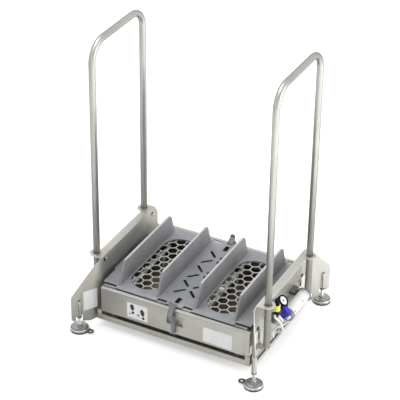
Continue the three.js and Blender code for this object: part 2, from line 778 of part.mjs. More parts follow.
// Tread box: front and rear panels with a finger pocket and a hinge, side walls with guide pins, and a drip pan
function endPanel() {
  const outer = -boxHalfY;
  const inner = -boxHalfY + boxSheet;
  const window = [-pocketLeft, pocketRight];
  const pocketBack = inner + pocketDepth;
  const widened = [window[0] - pocketSheet, window[1] + pocketSheet];
  const hem = boxTop - boxSheet;
  const channel = outline([
    [outer, boxBottom], [outer + boxBottomLip, boxBottom], [outer + boxBottomLip, boxBottom + boxSheet],
    [inner, boxBottom + boxSheet], [inner, hem], [outer + boxTopLip, hem], [outer + boxTopLip, boxTop],
    [outer - boxHem, boxTop], [outer - boxHem, hem], [outer, hem],
  ]);
  const pocket = block(widened, [inner - weld, pocketBack], [pocketBottom - pocketSheet, pocketTop + pocketSheet]);
  const hollow = block(window, [outer - overrun, pocketBack - pocketSheet], [pocketBottom, pocketTop]);
  const shell = cut(join(prism(channel, 'x', [-boxHalfX, boxHalfX]), pocket), hollow);
  const hingeY = outer - latchHingeOut;
  const earFace = latchEyeWidth / 2 + latchEarGap;
  const lip = block([latchHingeX + earFace, window[1]], [outer - pocketLipReach, outer + weld],
    [pocketTop, pocketTop + pocketLipThickness]);
  const ears = [-1, 1].map((side) => {
    const ends = [side * earFace, side * (earFace + latchEarThickness)].sort((p, q) => p - q);
    return join(
      rod(latchEyeRadius, hingeY, latchHingeZ, ends, roundSides, 'x'),
      block(ends, [hingeY, outer + weld], [latchHingeZ - latchEyeRadius, latchHingeZ + latchEyeRadius]),
    ).translate(latchHingeX, 0, 0);
  });
  const pinHalf = earFace + weld;
  const pinEnds = [latchHingeX - pinHalf, latchHingeX + pinHalf];
  const pin = rod(latchPinRadius, hingeY, latchHingeZ, pinEnds, smallSides, 'x');
  return join(shell, lip, ...ears, pin);
}

function sideWall(pressed) {
  const outer = boxHalfX;
  const length = boxHalfY - boxSheet - gap;
  const bottom = boxBottom + boxSheet + gap;
  const pieces = [
    block([outer - boxSheet, outer], [-length, length], [bottom, sideWallTop]),
    block([outer - sideWallLip, outer], [-length, length], [sideWallTop - boxSheet, sideWallTop]),
  ];
  const pinZ = guideSlotTop - guideSlotWidth / 2;
  [-guideReach, guideReach].forEach((y) => pieces.push(
    rod(guidePinRadius, y, pinZ, [outer - weld, webOuter + weld], smallSides, 'x'),
    rod(guidePinHeadRadius, y, pinZ, [webOuter + gap, webOuter + gap + guidePinHead], smallSides, 'x'),
  ));
  if (pressed) {
    pieces.push(block([outer - weld, outer + pressTabReach], [valveY - pressTabWidth / 2, valveY + pressTabWidth / 2],
      [pressTabBottom, pressTabBottom + pressTabThickness]));
  }
  return join(...pieces);
}

function dripPan() {
  const halfX = boxHalfX - boxSheet - gap;
  const halfY = boxHalfY - boxSheet - gap;
  const bottom = boxBottom + boxSheet + gap;
  const tray = block([-halfX, halfX], [-halfY, halfY], [bottom, bottom + panRim]);
  const inside = block([boxSheet - halfX, halfX - boxSheet], [boxSheet - halfY, halfY - boxSheet],
    [bottom + boxSheet, bottom + panRim + overrun]);
  return cut(tray, inside, rod(panDrainRadius, 0, 0, [bottom - overrun, bottom + panRim]));
}
place('box_panel_front', endPanel(), stainless);
place('box_panel_rear', halfTurn(endPanel()), stainless);
place('box_wall_left', mirrored(sideWall(false)), stainless);
place('box_wall_right', sideWall(true), stainless);
place('drip_pan', dripPan(), stainless);

// Deck: a polymer plate that drops into the box, with tongues that lap over the box's lips
const bays = [['left', -1], ['right', 1]];
const ovalFlat = ovalHalf - ovalRadius;
const bayOval = (side, radius) => {
  const x = side * bayX;
  return oval(x, ovalMiddleY - ovalFlat, x, ovalMiddleY + ovalFlat, radius, bigRoundSides);
};

function deck() {
  const bottom = deckTop - deckThickness;
  const tongueZ = [boxTop + gap, deckTop];
  const cutZ = [bottom - overrun, deckTop + overrun];
  const pieces = [
    block([-deckHalfX, deckHalfX], [-deckHalfY, deckHalfY], [bottom, deckTop]),
    block([-sideTongueReach, sideTongueReach], [-sideTongueHalf, sideTongueHalf], tongueZ),
    block([-latchTongueHalf, latchTongueHalf], [-tongueReach, tongueReach], tongueZ),
    ...bays.map(([, side]) => block([side * bayX - bayTongueHalf, side * bayX + bayTongueHalf],
      [-tongueReach, tongueReach], tongueZ)),
  ];
  const cutters = bays.flatMap(([, side]) => [
    prism(bayOval(side, ovalRadius), 'z', cutZ),
    prism(bayOval(side, ovalRadius + meshLedge + gap), 'z', [bottom - overrun, meshTop + gap]),
  ]);
  const slotRound = ventSlotWidth / 2;
  [-ventPitch, 0, ventPitch].forEach((y) => [45, 135, 225, 315].forEach((degrees) => {
    const angle = THREE.MathUtils.degToRad(degrees);
    const [near, far] = [ventSlotInner + slotRound, ventSlotOuter - slotRound];
    cutters.push(prism(oval(near * Math.cos(angle), y + near * Math.sin(angle), far * Math.cos(angle),
      y + far * Math.sin(angle), slotRound, smallSides / 2), 'z', cutZ));
  }));
  [-gripHoleY, gripHoleY].forEach((y) => cutters.push(block(
    [-gripHoleWidth / 2, gripHoleWidth / 2], [y - gripHoleLength / 2, y + gripHoleLength / 2], cutZ)));
  return cut(join(...pieces), ...cutters);
}
place('deck_plate', deck(), deckPolymer);

// Honeycomb gratings: hexagonal cells on a staggered grid, trimmed by the border that the deck's ledge covers
function grating(side) {
  const radius = ovalRadius + meshLedge;
  const meshZ = [meshTop - meshThickness, meshTop];
  const cutZ = [meshTop - meshThickness - overrun, meshTop + overrun];
  const rowPitch = (cellPitch * Math.sqrt(3)) / 2;
  const rows = Math.ceil((ovalFlat + radius) / rowPitch);
  const columns = Math.ceil(radius / cellPitch);
  const cells = [];
  const cellRadius = (cellPitch - cellWall) / Math.sqrt(3);
  const trimRadius = radius - meshBorder;
  for (let row = -rows; row <= rows; row += 1) {
    for (let column = -columns; column <= columns; column += 1) {
      const x = (column + (row % 2 === 0 ? 0 : 1 / 2)) * cellPitch;
      const y = row * rowPitch;
      const beyond = Math.hypot(x, Math.max(0, Math.abs(y) - ovalFlat));
      if (beyond < trimRadius + cellRadius / 2) {
        cells.push(prism(disc(cellRadius, 6, side * bayX + x, ovalMiddleY + y, Math.PI / 6), 'z', cutZ));
      }
    }
  }
  const open = common(join(...cells), prism(bayOval(side, trimRadius), 'z', cutZ));
  return cut(prism(bayOval(side, radius), 'z', meshZ), open);
}
bays.forEach(([where, side]) => place(`grating_${where}`, grating(side), brightSteel));

// Dividers: upright plates with a sloped and rounded front and rear edge
function divider() {
  const top = deckTop + dividerHeight;
  const profile = outline([
    [-dividerFront, deckTop], [dividerRear, deckTop], [dividerRear - dividerRearSlope, top, dividerRearRound],
    [dividerFrontSlope - dividerFront, top, dividerFrontRound],
  ]);
  return prism(profile, 'x', [-dividerThickness / 2, dividerThickness / 2]);
}
[['outer_left', -dividerOuterX], ['inner_left', -dividerInnerX], ['inner_right', dividerInnerX],
  ['outer_right', dividerOuterX]].forEach(([where, x]) => {
  place(`divider_${where}`, divider(), dividerPolymer).position.x = x;
});

// Latches: a lever hinged on the panel, with a bowed plate to pull and a wedge over the deck's tongue
function latchLever() {
  const panel = -boxHalfY;
  const front = panel - latchTopOut;
  const face = front + latchPlate;
  const top = deckTop + latchTopRise;
  const hip = deckTop + latchHipRise;
  const knee = boxTop - latchKneeDrop;
  const kneeY = panel - latchKneeOut;
  const ribTop = boxTop - latchRibTopDrop;
  const ribFront = panel - latchHingeOut - latchEyeRadius;
  const ribBack = panel - latchHingeOut + latchEyeRadius;
  const noseBottom = deckTop + gap;
  const noseEnd = panel + latchNoseReach;
  const profile = outline([
    [front, top], [front, hip], [kneeY, knee], [kneeY + latchPlate / 2, knee - latchKneeHook],
    [ribFront, ribTop - latchPlate], [ribFront, ribTop - 2 * latchPlate], [ribBack, ribTop - 2 * latchPlate],
    [ribBack, ribTop], [kneeY + latchPlate + latchPlate / 2, knee], [face, hip - latchPlate / 2],
    [face, noseBottom], [noseEnd, noseBottom], [noseEnd, noseBottom + latchNoseThickness], [face, noseBottom + latchNoseRise],
    [face, top],
  ]);
  const half = latchWidth / 2;
  const blank = prism(profile, 'x', [-half, half]);
  const low = ribTop - 2 * latchPlate - overrun;
  const faceView = outline([
    [-half, low], [half, low], [half, top, latchTabRound], [-half, top, latchTabRound],
  ]);
  const plate = common(blank, prism(faceView, 'y', [kneeY - overrun, noseEnd + overrun]));
  plate.translate(0, 0, -latchHingeZ);
  plate.applyMatrix4(new THREE.Matrix4().makeShear(0, 0, 0, 0, latchLeanShare, 0));
  plate.translate(0, 0, latchHingeZ);
  const hingeY = panel - latchHingeOut;
  const eye = [-latchEyeWidth / 2, latchEyeWidth / 2];
  const rib = block(eye, [ribFront, ribBack], [latchHingeZ, ribTop - latchPlate]);
  const boss = rod(latchEyeRadius, hingeY, latchHingeZ, eye, roundSides, 'x');
  const boreEnds = [eye[0] - overrun, eye[1] + overrun];
  const bore = rod(latchPinRadius + gap, hingeY, latchHingeZ, boreEnds, roundSides, 'x');
  return cut(join(plate, rib, boss), bore).translate(latchHingeX, 0, 0);
}
place('latch_front', latchLever(), latchPolymer);
place('latch_rear', halfTurn(latchLever()), latchPolymer);

// Spray manifolds: a pipe beside each grating, with leaning nozzles and legs on the drip pan
function manifold() {
  const first = nozzleFrontInset - manifoldFront;
  const last = manifoldRear - nozzleRearInset;
  const nozzlePitch = (last - first) / (nozzleCount - 1);
  const pipe = prism(disc(manifoldRadius, smallSides, 0, manifoldHeight), 'y', [-manifoldFront, manifoldRear]);
  const nozzles = Array.from({ length: nozzleCount }, (_, i) => {
    const nozzle = turned([
      [0, 0], [nozzleRadius, 0], [nozzleRadius, nozzleLength - nozzleTaper], [nozzleTipRadius, nozzleLength],
      [0, nozzleLength],
    ], smallSides);
    return nozzle.rotateY(nozzleLean).translate(0, first + i * nozzlePitch, manifoldHeight);
  });
  const panFloor = boxBottom + 2 * boxSheet + gap;
  const legY = manifoldFront - manifoldLegInset;
  const legSpan = (middle) => [middle - manifoldLegWidth / 2, middle + manifoldLegWidth / 2];
  const legs = [-legY, legY].map((y) => block(legSpan(0), legSpan(y), [panFloor + gap, manifoldHeight]));
  return join(pipe, ...nozzles, ...legs);
}
bays.forEach(([where, side]) => {
  place(`spray_manifold_${where}`, manifold(), whitePolymer).position.x = side * bayX - manifoldOffset;
});

// Solution tank under the middle of the deck, and its cap
const tankBottom = boxBottom + 2 * boxSheet + 2 * gap;
const tankTop = tankBottom + tankHeight;
const tankBody = prism(rectangle([-tankHalfX, tankHalfX], [-tankHalfY, tankHalfY], tankRound), 'z',
  [tankBottom, tankTop]);
const tankNeck = rod(tankNeckRadius, 0, tankNeckY, [tankTop - weld, tankTop + tankNeckHeight]);
place('solution_tank', join(tankBody, tankNeck), tankPolymer);
const capUnderside = tankTop + tankNeckHeight + gap;
place('tank_cap', rod(tankCapRadius, 0, tankNeckY, [capUnderside, capUnderside + tankCapHeight]), valveGrey);

// Foot valve on the right side plate, under the tab of the tread box
const valveX = [webInner - gap - valveDepth, webInner - gap];
const plungerX = (valveX[0] + valveX[1]) / 2 - gap;
const valveBottom = valveTop - valveHeight;
const valveBlock = block(valveX, [valveY - valveHalfY, valveY + valveHalfY], [valveBottom, valveTop]);
const valveBore = rod(plungerRadius + gap, plungerX, valveY, [valveTop - valveBoreDepth, valveTop + overrun]);
place('foot_valve', cut(valveBlock, valveBore), valveGrey);
const plungerEnds = [valveTop - plungerDepth, pressTabBottom - gap];
place('valve_plunger', rod(plungerRadius, plungerX, valveY, plungerEnds, smallSides), brightSteel);

// Air regulator, its knob and its gauge, in the regulator's own tilted frame
const regulator = new THREE.Group();
regulator.position.set(regulatorX, 0, regulatorZ);
regulator.rotation.y = regulatorTilt;
unit.add(regulator);
const regulatorSpan = [-regulatorHalf, regulatorHalf];
place('regulator_body', prism(rectangle(regulatorSpan, regulatorSpan, regulatorCorner), 'y',
  [regulatorFront, regulatorRear]), regulatorBlue, regulator);

function regulatorKnob() {
  const points = circlePoints(1, 4 * knobFlutes).map((point, i) => {
    const radius = i % 4 === 0 ? knobRadius - knobFluteDepth : knobRadius;
    return point.multiplyScalar(radius);
  });
  const shape = new THREE.Shape(points);
  return prism(shape, 'z', [0, knobLength]).rotateY(Math.PI / 2);
}
const knob = place('regulator_knob', regulatorKnob(), gaugeBlack, regulator);
knob.position.set(regulatorHalf + gap, (regulatorFront + regulatorRear) / 2, 0);

const gauge = new THREE.Group();
gauge.position.set(gaugeSide, regulatorFront, gaugeRise);
regulator.add(gauge);

function gaugeCase() {
  const dial = gaugeDepth - gaugeDialDepth;
  const shell = turned([
    [0, 0], [gaugeRadius, 0], [gaugeRadius, gaugeDepth - gaugeBezelHeight],
    [gaugeBezelRadius, gaugeDepth - gaugeBezelHeight], [gaugeBezelRadius, gaugeDepth], [gaugeDialRadius, gaugeDepth],
    [gaugeDialRadius, dial], [0, dial],
  ], bigRoundSides);
  return shell;
}

function gaugeElbow() {
  const elbowEnd = -regulatorHalf - gap;
  const across = prism(disc(gaugeStemRadius, smallSides, 0, -gaugeRise), 'x', [-gaugeStemRadius, elbowEnd - gaugeSide]);
  return join(across.translate(0, gaugeStemRadius + gap, 0),
    rod(gaugeStemRadius, 0, gaugeStemRadius + gap, [-gaugeRise, weld], smallSides));
}
place('gauge_case', join(gaugeCase(), gaugeElbow()), gaugeBlack, gauge);

function gaugeNeedle() {
  const bottom = gaugeDepth - gaugeDialDepth + gap;
  const pointer = new THREE.Shape([
    new THREE.Vector2(-needleWidth / 2, -needleTail), new THREE.Vector2(needleWidth / 2, -needleTail),
    new THREE.Vector2(0, needleLength),
  ]);
  const ends = [bottom, bottom + needleThickness];
  return join(prism(pointer, 'z', ends), rod(needleHubRadius, 0, 0, ends, smallSides));
}
place('gauge_needle', gaugeNeedle().rotateZ(needleRest), gaugeBlack, gauge);

// Bracket that holds the regulator off the right side plate
const bracketX = webOuter + gap;
const bracketY = regulatorRear + gap;
const bracketZ = [regulatorZ - bracketBelow, regulatorZ - bracketBelow + bracketHeight];
place('regulator_bracket', join(
  block([bracketX, bracketX + bracketReach], [bracketY, bracketY + bracketThickness], bracketZ),
  block([bracketX, bracketX + bracketThickness], [bracketY, bracketY + bracketFoot], bracketZ),
), stainless);

// Air filter: a head block with a bowl below it and a pipe to the regulator
const headX = [-filterHeadInner, shutoffBarrelRadius - gap];
const headZ = [filterTop - filterHead, filterTop];
function airFilter() {
  const head = block(headX, [-filterHead / 2, filterHead / 2], headZ);
  const bowl = turned([
    [0, 0], [filterBowlRadius - filterBowlRound, 0], [filterBowlRadius, filterBowlRound],
    [filterBowlRadius, filterBowlLength + weld], [0, filterBowlLength + weld],
  ], roundSides).translate(-filterBowlOffset, 0, headZ[0] - filterBowlLength);
  const pipe = prism(disc(filterPipeRadius, smallSides, 0, filterTop - filterPipeDrop), 'y',
    [0, regulatorFront - gap - shutoffY]);
  return join(head, bowl, pipe);
}
place('air_filter', airFilter(), valveGrey).position.set(shutoffX, shutoffY, 0);

// Shut-off valve: an upright barrel on the filter's head, and a sleeve that slides along it
function shutoffBarrel() {
  const bottom = filterTop + gap;
  const top = filterTop + shutoffLength;
  const inlet = prism(disc(shutoffNutAcross / Math.sqrt(3), 6), 'z', [top, top + shutoffNutHeight]);
  return join(rod(shutoffBarrelRadius, 0, 0, [bottom, top + weld]), inlet);
}

function shutoffSleeve() {
  const inner = shutoffBarrelRadius + gap;
  const waist = sleeveKnobRadius - sleeveKnobGroove;
  const thirds = sleeveKnobLength / 3;
  const form = turned([
    [0, 0], [sleeveKnobRadius, 0], [sleeveKnobRadius, thirds], [waist, thirds + sleeveKnobGroove],
    [waist, 2 * thirds - sleeveKnobGroove], [sleeveKnobRadius, 2 * thirds], [sleeveKnobRadius, sleeveKnobLength],
    [0, sleeveKnobLength],
  ], roundSides);
  return cut(form, rod(inner, 0, 0, [-overrun, sleeveKnobLength + overrun]));
}
place('shutoff_valve', shutoffBarrel(), brightSteel).position.set(shutoffX, shutoffY, 0);
const sleeveKnobBottom = filterTop + sleeveKnobRise;
place('shutoff_sleeve', shutoffSleeve(), sleeveYellow).position.set(shutoffX, shutoffY, sleeveKnobBottom);

// Pump cylinder along the right side, its saddles, and the pilot block behind it
function pumpCylinder() {
  const length = pumpRear - pumpFront;
  const shell = turned([
    [0, 0], [pumpRadius - pumpEndRound, 0], [pumpRadius, pumpEndRound], [pumpRadius, pumpCollarLength],
    [pumpRadius - pumpCollarGroove, pumpCollarLength + pumpCollarGroove],
    [pumpRadius, pumpCollarLength + 2 * pumpCollarGroove],
    [pumpRadius, length - pumpCollarLength - 2 * pumpCollarGroove],
    [pumpRadius - pumpCollarGroove, length - pumpCollarLength - pumpCollarGroove],
    [pumpRadius, length - pumpCollarLength], [pumpRadius, length - pumpEndRound],
    [pumpRadius - pumpEndRound, length], [0, length],
  ], bigRoundSides).rotateX(-Math.PI / 2).translate(pumpX, pumpFront, pumpZ);
  const neck = rod(pumpNeckRadius, regulatorX, pumpNeckZ, [regulatorRear + gap, pumpFront + weld], smallSides, 'y');
  return join(shell, neck);
}

function pumpSaddles() {
  const inner = webOuter + gap;
  const heights = [pumpZ - saddleHalfHeight, pumpZ + saddleHalfHeight];
  const [saddleFrontY, saddleRearY] = [saddleFrontShare, saddleRearShare].map((share) =>
    THREE.MathUtils.lerp(pumpFront, pumpRear, share));
  const ribs = [saddleFrontY, saddleRearY].map((y) =>
    block([inner, inner + saddleReach], [y, y + saddleThickness], heights));
  const base = block([inner, inner + saddleBase],
    [saddleFrontY - saddleThickness, saddleRearY + 2 * saddleThickness], heights);
  return cut(join(base, ...ribs),
    rod(pumpRadius + gap, pumpX, pumpZ, [pumpFront, pumpRear], bigRoundSides, 'y'));
}
place('pump_cylinder', pumpCylinder(), whitePolymer);
place('pump_saddles', pumpSaddles(), stainless);
const pilotBottom = pumpZ - pilotBelow;
place('pilot_block', block([webOuter + gap, webOuter + gap + pilotDepth], [pilotFront, pilotRear],
  [pilotBottom, pilotBottom + pilotHeight]), valveGrey);

// Air tubing: the signal line to the foot valve, the spray line from the pump, and the pilot line
function airLine(start, leaving, end, arriving, shares) {
  const lerp = THREE.MathUtils.lerp;
  const stations = shares.map(([x, y, z]) =>
    new THREE.Vector3(lerp(start.x, end.x, x), lerp(start.y, end.y, y), lerp(start.z, end.z, z)));
  return tubing([
    start, start.clone().addScaledVector(leaving, tubingLead), ...stations,
    end.clone().addScaledVector(arriving, 2 * tubingLead), end.clone().addScaledVector(arriving, tubingLead), end,
  ]);
}
const [sideways, backward, upward] = [[1, 0, 0], [0, 1, 0], [0, 0, 1]].map((v) => new THREE.Vector3(...v));
const headPort = new THREE.Vector3(shutoffX + headX[1] + gap, shutoffY, (headZ[0] + headZ[1]) / 2);
place('signal_tube', airLine(headPort, sideways, new THREE.Vector3(webInner, valveY, signalHoleZ), sideways,
  signalShares), clearTubing);
const pumpPort = new THREE.Vector3(pumpX, pumpFront + spraySetback, pumpZ - pumpRadius - gap);
place('spray_tube', airLine(pumpPort, upward.clone().negate(), new THREE.Vector3(webInner, sprayHoleY, sprayHoleZ),
  sideways, sprayShares), clearTubing);
const pilotPort = new THREE.Vector3(webOuter + gap + pilotDepth / 2, pilotRear + gap, pumpZ + pilotBelow);
const rearPort = new THREE.Vector3(pumpX, pumpRear + gap, pumpZ);
const bend = [pilotPort, rearPort].map((port) => port.clone().addScaledVector(backward, tubingLead));
place('pilot_tube', tubing([
  pilotPort, bend[0],
  ...pilotShares.map((share) => bend[0].clone().lerp(bend[1], share)
    .addScaledVector(backward, pilotBulge * Math.sin(Math.PI * share))),
  bend[1], rearPort,
]), clearTubing);

export default unit;
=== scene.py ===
# %% [markdown]
# # Dressing a footwear sanitizing unit
# The unit is a low stainless box that a worker stands on, between two folded side plates with tall
# handrails. The frame that is loaded here holds every solid at its real size. This lesson gives each of them
# a finish, makes the round and shiny pieces again with the detail that a camera sees, and adds the welds,
# screws, labels and seams that the solids leave out.

# %% Load the frame
import bpy
import bmesh
import json
import math
from mathutils import Matrix, Vector


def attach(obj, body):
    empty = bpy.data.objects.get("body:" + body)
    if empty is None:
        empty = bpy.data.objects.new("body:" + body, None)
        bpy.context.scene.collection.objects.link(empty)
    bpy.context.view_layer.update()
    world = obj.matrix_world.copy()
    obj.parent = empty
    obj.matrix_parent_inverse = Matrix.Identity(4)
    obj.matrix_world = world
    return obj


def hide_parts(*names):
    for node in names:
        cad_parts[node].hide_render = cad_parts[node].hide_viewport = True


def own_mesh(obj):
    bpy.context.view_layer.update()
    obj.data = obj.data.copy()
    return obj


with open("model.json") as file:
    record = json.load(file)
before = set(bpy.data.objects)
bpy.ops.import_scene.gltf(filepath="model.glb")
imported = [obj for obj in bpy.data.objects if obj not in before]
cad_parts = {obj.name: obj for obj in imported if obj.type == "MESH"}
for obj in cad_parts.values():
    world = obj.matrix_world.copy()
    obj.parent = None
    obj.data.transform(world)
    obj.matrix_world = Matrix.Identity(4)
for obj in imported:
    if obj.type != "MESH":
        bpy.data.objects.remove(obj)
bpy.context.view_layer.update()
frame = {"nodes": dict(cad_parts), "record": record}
nodes = frame["nodes"]
record = frame["record"]
body_of_node = {node: body for body, names in record["behaviour"]["bodies"].items() for node in names}

# %% [markdown]
# ## Camera
# The photo was taken with a long lens from above the front right corner. The three directions below are the
# camera's right, down and forward, and the place is where it stood, so the picture lines up with the photo.

# %% Camera
def new_object(name, data):
    """A new object in the scene that shows some data."""
    made = bpy.data.objects.new(name, data)
    bpy.context.scene.collection.objects.link(made)
    return made


def facing(spot, right, up, back):
    """The matrix that moves a thing to a spot and turns its X, Y and Z along three directions."""
    return Matrix.Translation(spot) @ Matrix((right, up, back)).transposed().to_4x4()


camera_data = bpy.data.cameras.new("photo_camera")
camera_data.lens = 144.18
camera_data.sensor_width = 36
camera_data.clip_end = 60
camera = new_object("photo_camera", camera_data)
camera_place = (2.280694, -4.506718, 3.633821)
camera_right = Vector((0.887496, 0.460663, 0.011832))
camera_down = Vector((0.250599, -0.460930, -0.851319))
camera_forward = Vector((-0.386718, 0.758507, -0.524515))
camera.matrix_world = facing(camera_place, camera_right, -camera_down, -camera_forward)
bpy.context.scene.camera = camera
print("camera lens:", camera_data.lens)

# %% [markdown]
# ## Studio
# A catalogue photo has a white sweep and a big soft light overhead. The world shows as white to the camera
# and in reflections, and lights the unit less strongly, so that colours keep their values. A shader is a
# tree of nodes, so helpers come first: they feed a socket, make a node, and ask which rays see it directly.

# %% World
def feed(tree, socket, value):
    """Links an input socket to another node's output, or sets it to a plain value."""
    if isinstance(value, bpy.types.NodeSocket):
        tree.links.new(value, socket)
    else:
        socket.default_value = value


def linked(kind, tree, *inputs, **named_inputs):
    """A new shader node, with its input sockets fed in order or by name."""
    node = tree.nodes.new(kind)
    for socket, value in zip(node.inputs, inputs):
        feed(tree, socket, value)
    for name, value in named_inputs.items():
        feed(tree, node.inputs[name.replace("_", " ")], value)
    return node


def calculated(tree, operation, *values):
    """The result of a Math node."""
    node = linked("ShaderNodeMath", tree, *values)
    node.operation = operation
    return node.outputs[0]


def seen_directly(tree, with_gloss=True):
    """1 for camera and transmission rays, and for glossy ones if asked, otherwise 0."""
    path = tree.nodes.new("ShaderNodeLightPath").outputs
    seen = calculated(tree, "MAXIMUM", path["Is Camera Ray"], path["Is Transmission Ray"])
    if with_gloss:
        seen = calculated(tree, "MAXIMUM", seen, path["Is Glossy Ray"])
    return seen


white = (1, 1, 1, 1)
ambient_strength, backdrop_strength = 0.70, 1.0
world = bpy.data.worlds.new("studio_world")
bpy.context.scene.world = world
world.use_nodes = True
sky = world.node_tree
sky.nodes.clear()
ambient = linked("ShaderNodeBackground", sky, Color=white, Strength=ambient_strength)
backdrop = linked("ShaderNodeBackground", sky, Color=white, Strength=backdrop_strength)
choose = linked("ShaderNodeMixShader", sky, seen_directly(sky), ambient.outputs[0], backdrop.outputs[0])
linked("ShaderNodeOutputWorld", sky, choose.outputs[0])
bpy.context.scene.view_settings.view_transform = "Standard"
print("world nodes:", len(sky.nodes))

# %% [markdown]
# The floor is a large sheet of pale paper that keeps the unit's shadow. It glows evenly for the camera, so
# that it shows as white. In reflections it glows only towards the right, so the steel there is brighter.

# %% Floor
def finished_mesh(builder, name):
    """A new mesh with what a bmesh holds. The bmesh is freed."""
    mesh = bpy.data.meshes.new(name)
    builder.to_mesh(mesh)
    builder.free()
    return mesh


def new_material(name):
    """A new material that is made of nodes."""
    material = bpy.data.materials.new(name)
    material.use_nodes = True
    return material


def object_place(tree):
    """Where a point lies on its piece, in metres."""
    return tree.nodes.new("ShaderNodeTexCoord").outputs["Object"]


def ranged(tree, value, **limits):
    """A value carried from one range of numbers to another."""
    return linked("ShaderNodeMapRange", tree, Value=value, **limits).outputs["Result"]


floor_half, floor_height = 12, -0.0006
camera_glow, glossy_glow = 0.42, 0.55
glow_start, glow_full = 0.1, 0.7
floor_builder = bmesh.new()
bmesh.ops.create_grid(floor_builder, x_segments=1, y_segments=1, size=floor_half)
floor = new_object("studio_floor", finished_mesh(floor_builder, "studio_floor"))
floor.location.z = floor_height

floor_paper = new_material("floor_paper")
paper = floor_paper.node_tree
paper.nodes.clear()
paper_diffuse = linked("ShaderNodeBsdfDiffuse", paper, Color=(0.86, 0.86, 0.86, 1))
across = linked("ShaderNodeSeparateXYZ", paper, object_place(paper)).outputs["X"]
to_right = ranged(paper, across, From_Min=glow_start, From_Max=glow_full, To_Min=0.0, To_Max=glossy_glow)
is_glossy = paper.nodes.new("ShaderNodeLightPath").outputs["Is Glossy Ray"]
in_reflections = calculated(paper, "MULTIPLY", is_glossy, to_right)
glow = calculated(paper, "MULTIPLY_ADD", seen_directly(paper, False), camera_glow, in_reflections)
paper_glow = linked("ShaderNodeEmission", paper, Color=white, Strength=glow)
paper_sum = linked("ShaderNodeAddShader", paper, paper_diffuse.outputs[0], paper_glow.outputs[0])
linked("ShaderNodeOutputMaterial", paper, paper_sum.outputs[0])
floor.data.materials.append(floor_paper)
print("floor nodes:", len(paper.nodes))

# %% [markdown]
# The rest of the light comes from two large square lamps. The key lamp hangs high at the left, and a smaller
# and somewhat weaker one at the right fills the shadows.

# %% Lamps
lamp_target = Vector((0, 0, 0.3))


def soft_lamp(name, place, size, power):
    """A square lamp at a place, aimed at the middle of the unit."""
    data = bpy.data.lights.new(name, "AREA")
    data.shape = "SQUARE"
    data.size = size
    data.energy = power
    aim = lamp_target - Vector(place)
    turn = aim.to_track_quat("-Z", "Y").to_matrix().to_4x4()
    new_object(name, data).matrix_world = Matrix.Translation(place) @ turn


soft_lamp("key_lamp", (-0.9, -0.3, 4.3), 3.2, 72)
soft_lamp("fill_lamp", (3.3, 0.3, 1.5), 2.4, 58)

# %% [markdown]
# ## Finishes
# Each finish is a few nodes on Object coordinates, so that its pattern stays on the piece and has a real
# size. A finish starts from one helper that mixes two shades by noise, varies the gloss and adds a fine
# bump. What is the same all over a piece, such as how metallic it is, is set on the shader itself.

# %% A finish from noise
def shader_of(material):
    """The shader node that a finish ends in."""
    return material.node_tree.nodes["Principled BSDF"]


def noise(tree, place, scale, detail=2.0):
    """The value of a noise pattern, from 0 to 1."""
    return linked("ShaderNodeTexNoise", tree, Vector=place, Scale=scale, Detail=detail).outputs["Fac"]


def mixed_colour(tree, share, first, second, blend="MIX"):
    """Two colours mixed or multiplied, by a share from 0 to 1."""
    # A Mix node keeps its two colours in sockets 6 and 7, and gives the mixed one as output 2.
    mix = tree.nodes.new("ShaderNodeMix")
    mix.data_type = "RGBA"
    mix.blend_type = blend
    for place, value in ((0, share), (6, first), (7, second)):
        feed(tree, mix.inputs[place], value)
    return mix.outputs[2]


def mottled(name, dark, light, scale, gloss, bump_scale, bump_height, metallic=0.0, detail=3.0):
    """A material whose colour runs between two shades, with its own roughness range and bump."""
    material = new_material(name)
    tree = material.node_tree
    place = object_place(tree)
    # Noise seldom leaves the middle of its range, so that part is spread over the two shades.
    blotches = ranged(tree, noise(tree, place, scale, detail), From_Min=0.35, From_Max=0.65)
    smears = noise(tree, place, scale * 2.7 + 5)
    grain = noise(tree, place, bump_scale)
    bump = linked("ShaderNodeBump", tree, Height=grain, Strength=0.5, Distance=bump_height)
    inputs = shader_of(material).inputs
    inputs["Metallic"].default_value = metallic
    feed(tree, inputs["Base Color"], mixed_colour(tree, blotches, (*dark, 1), (*light, 1)))
    feed(tree, inputs["Roughness"], ranged(tree, smears, To_Min=gloss[0], To_Max=gloss[1]))
    feed(tree, inputs["Normal"], bump.outputs["Normal"])
    return material


# %% [markdown]
# The steel is blasted, turned, drawn or stained, and each treatment leaves its own shade, grain and gloss.
# The right plate gets a lighter copy of the blasted steel, which paints in the stronger light on that side,
# and the handrails reflect least at their edges.

# %% Metals
blasted_steel = mottled("blasted_steel", (0.45, 0.44, 0.40), (0.52, 0.51, 0.47), 5,
                        (0.36, 0.50), 1400, 0.00008, 0.75)
# A lighter copy of the blasted steel: painted light on the right plate.
right_plate_lit_steel = mottled("right_plate_lit_steel", (0.52, 0.51, 0.47), (0.60, 0.59, 0.55), 5,
                      (0.36, 0.50), 1400, 0.00008, 0.75)
turned_steel = mottled("turned_steel", (0.56, 0.55, 0.52), (0.66, 0.65, 0.62), 30,
                       (0.20, 0.34), 900, 0.00004, 1.0)
drawn_wire = mottled("drawn_wire", (0.36, 0.36, 0.36), (0.46, 0.46, 0.46), 60,
                     (0.28, 0.40), 1200, 0.00004, 1.0)
stained_steel = mottled("stained_steel", (0.15, 0.126, 0.098), (0.28, 0.24, 0.19), 22,
                        (0.30, 0.55), 500, 0.0002, 0.5)
grate_steel = mottled("grate_steel", (0.88, 0.86, 0.80), (0.96, 0.94, 0.90), 40,
                      (0.30, 0.42), 900, 0.00005, 0.3)
dark_steel = mottled("dark_steel", (0.12, 0.115, 0.10), (0.20, 0.19, 0.17), 60,
                     (0.25, 0.38), 900, 0.00004, 0.9)
